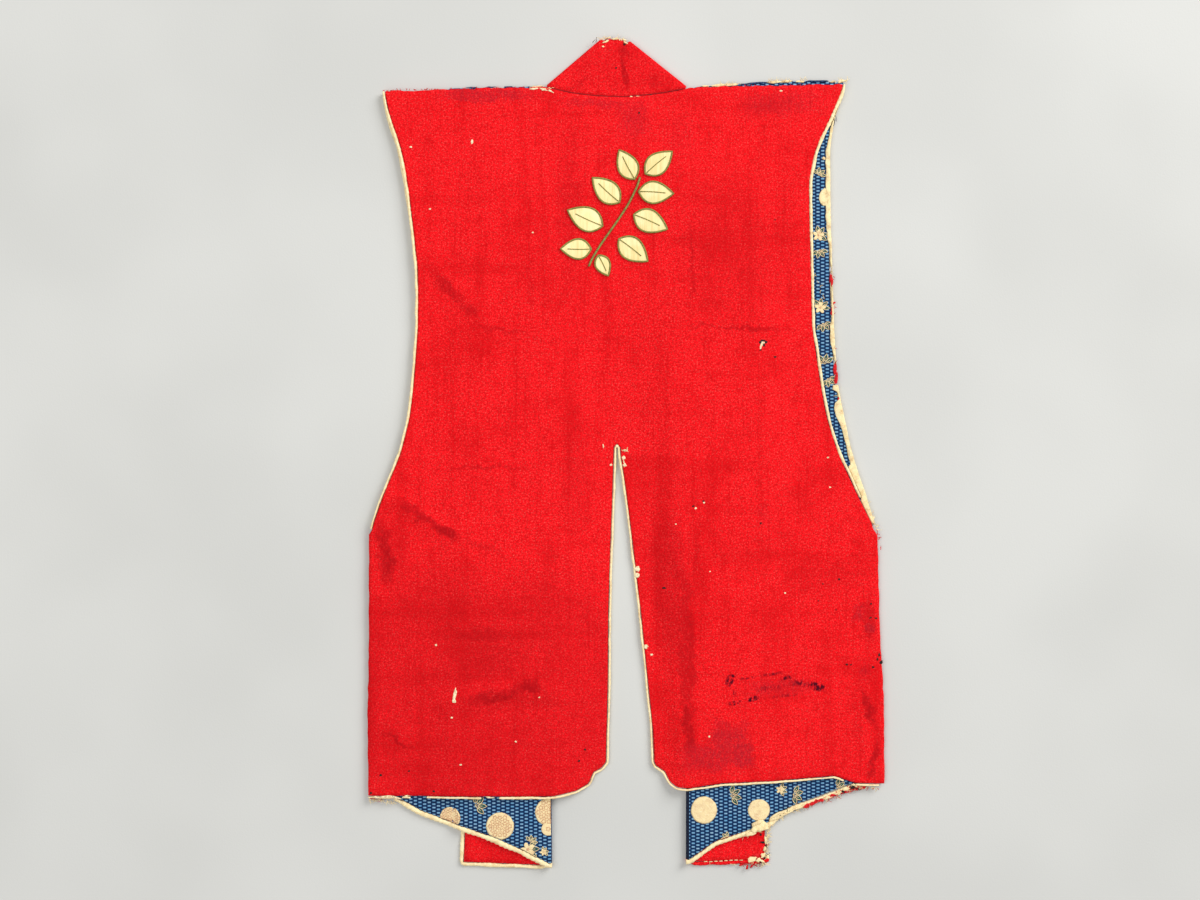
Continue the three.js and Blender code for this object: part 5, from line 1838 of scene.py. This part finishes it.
LAPEL_DARK = table(MARKS, [
    (148.5, -420.5, 1.4, 1.2, 0, 0.3, 0.3),
    (150.5, -429, 2.6, 1.3, 5, 0.4, 0.5),
    (154.5, -434, 0.9, 2.2, 0, 0.4, 0.5),
    (148, -450.5, 2, 1, -40, 0.4, 1.4),
    (152.5, -446, 1, 1.8, 20, 0.4, 1.4),
])
LAPEL_RED = table(MARKS, [
    (133.5, -456.5, 2.6, 1.3, 70, 0.4, 1.2),
    (138.5, -455.5, 2, 1.2, 60, 0.4, 1.2),
    (127.5, -453.5, 3, 1.2, 10, 0.4, 1.2),
    (143.5, -444, 4.4, 2.2, 30, 0.4, 0.9),
])

# Beyond the worn band of the right front, the wool's own frayed edge: from, to, and one tuft to the next.
FRAYED_WOOL = (196.0, 262.0, 4.6)
TUFT = SimpleNamespace(out=0.6, long=4.0, wide=2.1, turn=20, ragged=0.4, lift=-1.2, thick=1.8)

tufts = []
for n, x in enumerate(np.arange(*FRAYED_WOOL)):
    y = read(FRONT_HEM_RIGHT, "x", "y", x) + jitter(x, *TUFT_WANDER) + TUFT.out
    outline = round_outline(x, y, TUFT.long, TUFT.wide, TUFT.turn, TUFT.ragged, 900 + n, SCRAP_POINTS)
    tufts.append(dome(outline, lining_top, TUFT.lift, TUFT.thick))
make_piece("front_hem_frayed_wool", merged(tufts), [RED_THREAD])

SCRAPS = (
    ("shoulder_edging_scraps", SHOULDER_SCRAPS, front_shoulder, CREAM_RAG, "cream_binding"),
    ("shoulder_lining_scraps", NAVY_SCRAPS, front_shoulder, NAVY_SCRAP, "blue_silk"),
    ("collar_edging_scraps", COLLAR_SCRAPS, collar_face, CREAM_RAG, "cream_binding"),
    ("collar_tar_specks", COLLAR_DARK, collar_face, DARK_THREAD, "scarlet_wool"),
    ("hem_edging_rags", HEM_SCRAPS, lining_top, CREAM_RAG, "cream_binding"),
    ("hem_wool_rags", HEM_RED, lining_top, RED_THREAD, "scarlet_wool"),
    ("hem_soiled_rags", HEM_DARK, lining_top, DARK_THREAD, "cream_binding"),
    ("armhole_edging_rags", ARMHOLE_SCRAPS, lining_top, CREAM_RAG, "cream_binding"),
    ("armhole_wool_rags", ARMHOLE_RED, lining_top, RED_THREAD, "scarlet_wool"),
    ("lapel_edging_rags", LAPEL_SCRAPS, lapel_top, CREAM_RAG, "cream_binding"),
    ("lapel_wool_rags", LAPEL_RED, lapel_top, RED_THREAD, "scarlet_wool"),
    ("lapel_soiled_bits", LAPEL_DARK, lapel_top, DARK_THREAD, "cream_binding"),
)
for n, (name, rows, surface, material, slot) in enumerate(SCRAPS):
    make_piece(name, scattered(rows, surface, 300 + 20 * n, SCRAP_LIFT), [material])

# ---- Loose threads and stitches ----------------------------------------------------------------------

THREAD_ROUND = 0.36    # drawn about twice as thick as it is, so that it shows
THREAD_STEPS = 6
THREAD_LOWEST = 0.5
THREAD_DROOP = 0.25    # at most, at each step
THREAD_CURL = 26       # degrees at each step, the same way all along
THREAD_STRAY = 14      # degrees at each step, either way
THREAD_SPREAD = 55     # degrees either side of a frayed edge's heading
THREAD_LENGTHS = (0.5, 1.3)


def loose_thread(rng, x, y, z, length, heading):
    """A short limp thread from (x, y, z), curling a little."""
    path = [(x, y, z)]
    step = length / THREAD_STEPS
    curl = rng.uniform(-THREAD_CURL, THREAD_CURL)
    for _ in range(THREAD_STEPS):
        heading += curl + rng.uniform(-THREAD_STRAY, THREAD_STRAY)
        x, y = beside(x, y, step, heading)
        z = max(THREAD_LOWEST, z - rng.uniform(0.0, THREAD_DROOP))
        path.append((x, y, z))
    radius = np.linspace(THREAD_ROUND, THREAD_ROUND * 0.5, len(path))
    return tube(path, radius, 4)


# Frayed stretches of edge: from, to, height, how many threads, their length, and their heading.
FRAYS = "x1 y1 x2 y2 z count long heading"
CREAM_FRAYS = table(FRAYS, [
    (-106, 401, -82, 400, 7.4, 12, 5, 60),
    (-36, 452, -20, 456, 7.2, 4, 5, 120),
    (-20, 456, 2, 452, 7.2, 6, 6, 80),
    (94, 405, 124, 406, 5, 14, 4.5, 85),
    (156, 408, 200, 410.5, 5, 18, 4.5, 80),
    (226, 409.5, 244, 409, 5, 12, 5, 40),
    (214, 350, 222, 372, 6, 4, 7, 10),
    (202, 270, 204, 258, 6.2, 4, 7, 190),
    (232, 74, 238, 40, 4.4, 8, 6, 150),
    (262, -50, 276, -84, 5, 26, 6, -40),
    (128, -420, 166, -402, 5.2, 30, 7, -60),
    (166, -402, 210, -384, 4.4, 18, 5, -60),
    (214, -382, 252, -368, 4.4, 26, 6, -70),
    (-284, -380.5, -246, -385, 5, 22, 5, -80),
    (134, -446, 154, -452, 3.2, 34, 7, -50),
    (153, -448, 156, -414, 3.2, 34, 6, 0),
    (84, -451, 130, -454, 3, 10, 4, -90),
    (247, -366, 281, -369, 5.2, 10, 5, -80),
    (148, 124, 152, 110, 7.4, 8, 4, 240),
    (-5, 3.4, 1, 2.6, 5.4, 8, 3.5, 0),
    (-108, -440, -86, -452, 4.2, 8, 5, -30),
    (208, 200, 222, 160, 4.6, 6, 5, 170),
])
RED_FRAYS = table(FRAYS, [
    (-268, 398.5, -112, 402, 6.4, 60, 2.4, 90),
    (80, 402.6, 240, 404.6, 6.6, 40, 2.2, 90),
    (228, 200, 232, 50, 4.4, 8, 3, 0),
    (196, -389, 258, -367, 4.6, 34, 6, -70),
    (128, -453, 148, -452, 3.2, 16, 5, -80),
    (146, -446, 155, -430, 3.2, 10, 5, -20),
    (-284, -379, -262, -382, 4.6, 12, 4, -100),
    (276, -84, 281, -110, 4.6, 8, 4, 10),
    (148, 126, 160, 104, 7.4, 8, 3, 60),
    (236, -366, 284, -370, 5, 12, 4, -90),
])
DARK_FRAYS = table(FRAYS, [
    (227, 377, 229, 365, 5.4, 3, 9, -60),
    (-44, 450, -6, 457, 7, 4, 5, 60),
    (236, -375, 256, -365, 4.8, 9, 5, -60),
    (140, -414, 154, -408, 6.2, 7, 7, 18),
    (162, -402, 180, -394, 6, 5, 8, 28),
    (150, -452, 156, -440, 3.2, 5, 5, -40),
    (200, 262, 203, 256, 6.4, 2, 8, 200),
])
for seed, (name, rows, material, slot) in enumerate((
        ("cream_loose_threads", CREAM_FRAYS, CREAM_RAG, "cream_binding"),
        ("red_loose_threads", RED_FRAYS, RED_THREAD, "scarlet_wool"),
        ("dark_loose_threads", DARK_FRAYS, DARK_THREAD, "cream_binding"))):
    rng = np.random.default_rng(500 + seed)
    threads = []
    for x1, y1, x2, y2, z, count, long, heading in zip(*rows.values()):
        for _ in range(int(count)):
            t = rng.uniform(0, 1)
            start = (mix(x1, x2, t), mix(y1, y2, t), z + rng.uniform(-0.4, 0.4))
            length = long * rng.uniform(*THREAD_LENGTHS)
            spread = rng.uniform(-THREAD_SPREAD, THREAD_SPREAD)
            threads.append(loose_thread(rng, *start, length, heading + spread))
    make_piece(name, merged(threads), [material])

# Running stitches along the right lapel's hem, and the sewn line at the foot of the collar, its dark red
# being painted shade of the seam's groove.
STITCH_LONG = 3.6
STITCH_PITCH = 5.6
STITCH_ROUND = 0.45
STITCH_ROW = SimpleNamespace(x=(86.0, 130.0), y=(-450.6, -448.4))
STITCH_FOOT = LAPEL_TOP_FACE + 0.1
STITCH_TOP = LAPEL_TOP_FACE + 0.6
SEAM_X = (-82.0, 62.0)
SEAM_POINTS = 60
SEAM_ROUND = 0.7

stitches = []
for x in np.arange(*STITCH_ROW.x, STITCH_PITCH):
    along = (x - STITCH_ROW.x[0]) / (STITCH_ROW.x[1] - STITCH_ROW.x[0])
    y = mix(*STITCH_ROW.y, along) + jitter(x, *STITCH_WANDER)
    path = [(x, y, STITCH_FOOT), (x + STITCH_LONG / 2, y + 0.2, STITCH_TOP),
            (x + STITCH_LONG, y + 0.1, STITCH_FOOT)]
    stitches.append(tube(path, STITCH_ROUND, 6))
make_piece("lapel_running_stitches", merged(stitches), [CREAM_BRAID])

seam_x = np.linspace(*SEAM_X, SEAM_POINTS)
seam_y = read_smooth(SHOULDER, "x", "back", seam_x, 6.0) + 0.2
seam = np.column_stack([seam_x, seam_y, np.full(SEAM_POINTS, BACK_TOP + 0.15)])
make_piece("collar_seam_line", tube(seam, SEAM_ROUND, 6), [SEAM_SHADE_THREAD])

# ---- Floor, light and view ---------------------------------------------------------------------------

FLOOR_REACH = 3.0      # metres to each side
CORNERS = ((-1, -1), (1, -1), (1, 1), (-1, 1))

floor_mesh = bpy.data.meshes.new("floor")
floor_mesh.from_pydata([(x * FLOOR_REACH, y * FLOOR_REACH, 0.0) for x, y in CORNERS], [], [(0, 1, 2, 3)])
floor = bpy.data.objects.new("floor", floor_mesh)
bpy.context.scene.collection.objects.link(floor)
floor_mesh.materials.append(FLOOR_PAINT)

# Large soft lights: place and size in metres and power in watts, each aimed at the garment's middle.
LIGHTS = (
    ("window_light", (3.0, 2.6, 2.5), 2.6, 212.0),
    ("sky_light", (-1.6, -0.4, 3.2), 3.0, 62.0),
)
ROOM_LIGHT = 0.44      # even light from all round

for name, place, size, power in LIGHTS:
    data = bpy.data.lights.new(name, "AREA")
    data.size = size
    data.energy = power
    light = bpy.data.objects.new(name, data)
    light.location = place
    aim = camera.location.copy()
    aim.z = 0.0
    light.rotation_euler = (light.location - aim).to_track_quat("Z", "Y").to_euler()
    bpy.context.scene.collection.objects.link(light)

world = bpy.data.worlds.new("studio")
bpy.context.scene.world = world
world.use_nodes = True
background = world.node_tree.nodes["Background"]
background.inputs["Color"].default_value = (1.0, 1.0, 1.0, 1.0)
background.inputs["Strength"].default_value = ROOM_LIGHT
bpy.context.scene.view_settings.view_transform = "Standard"
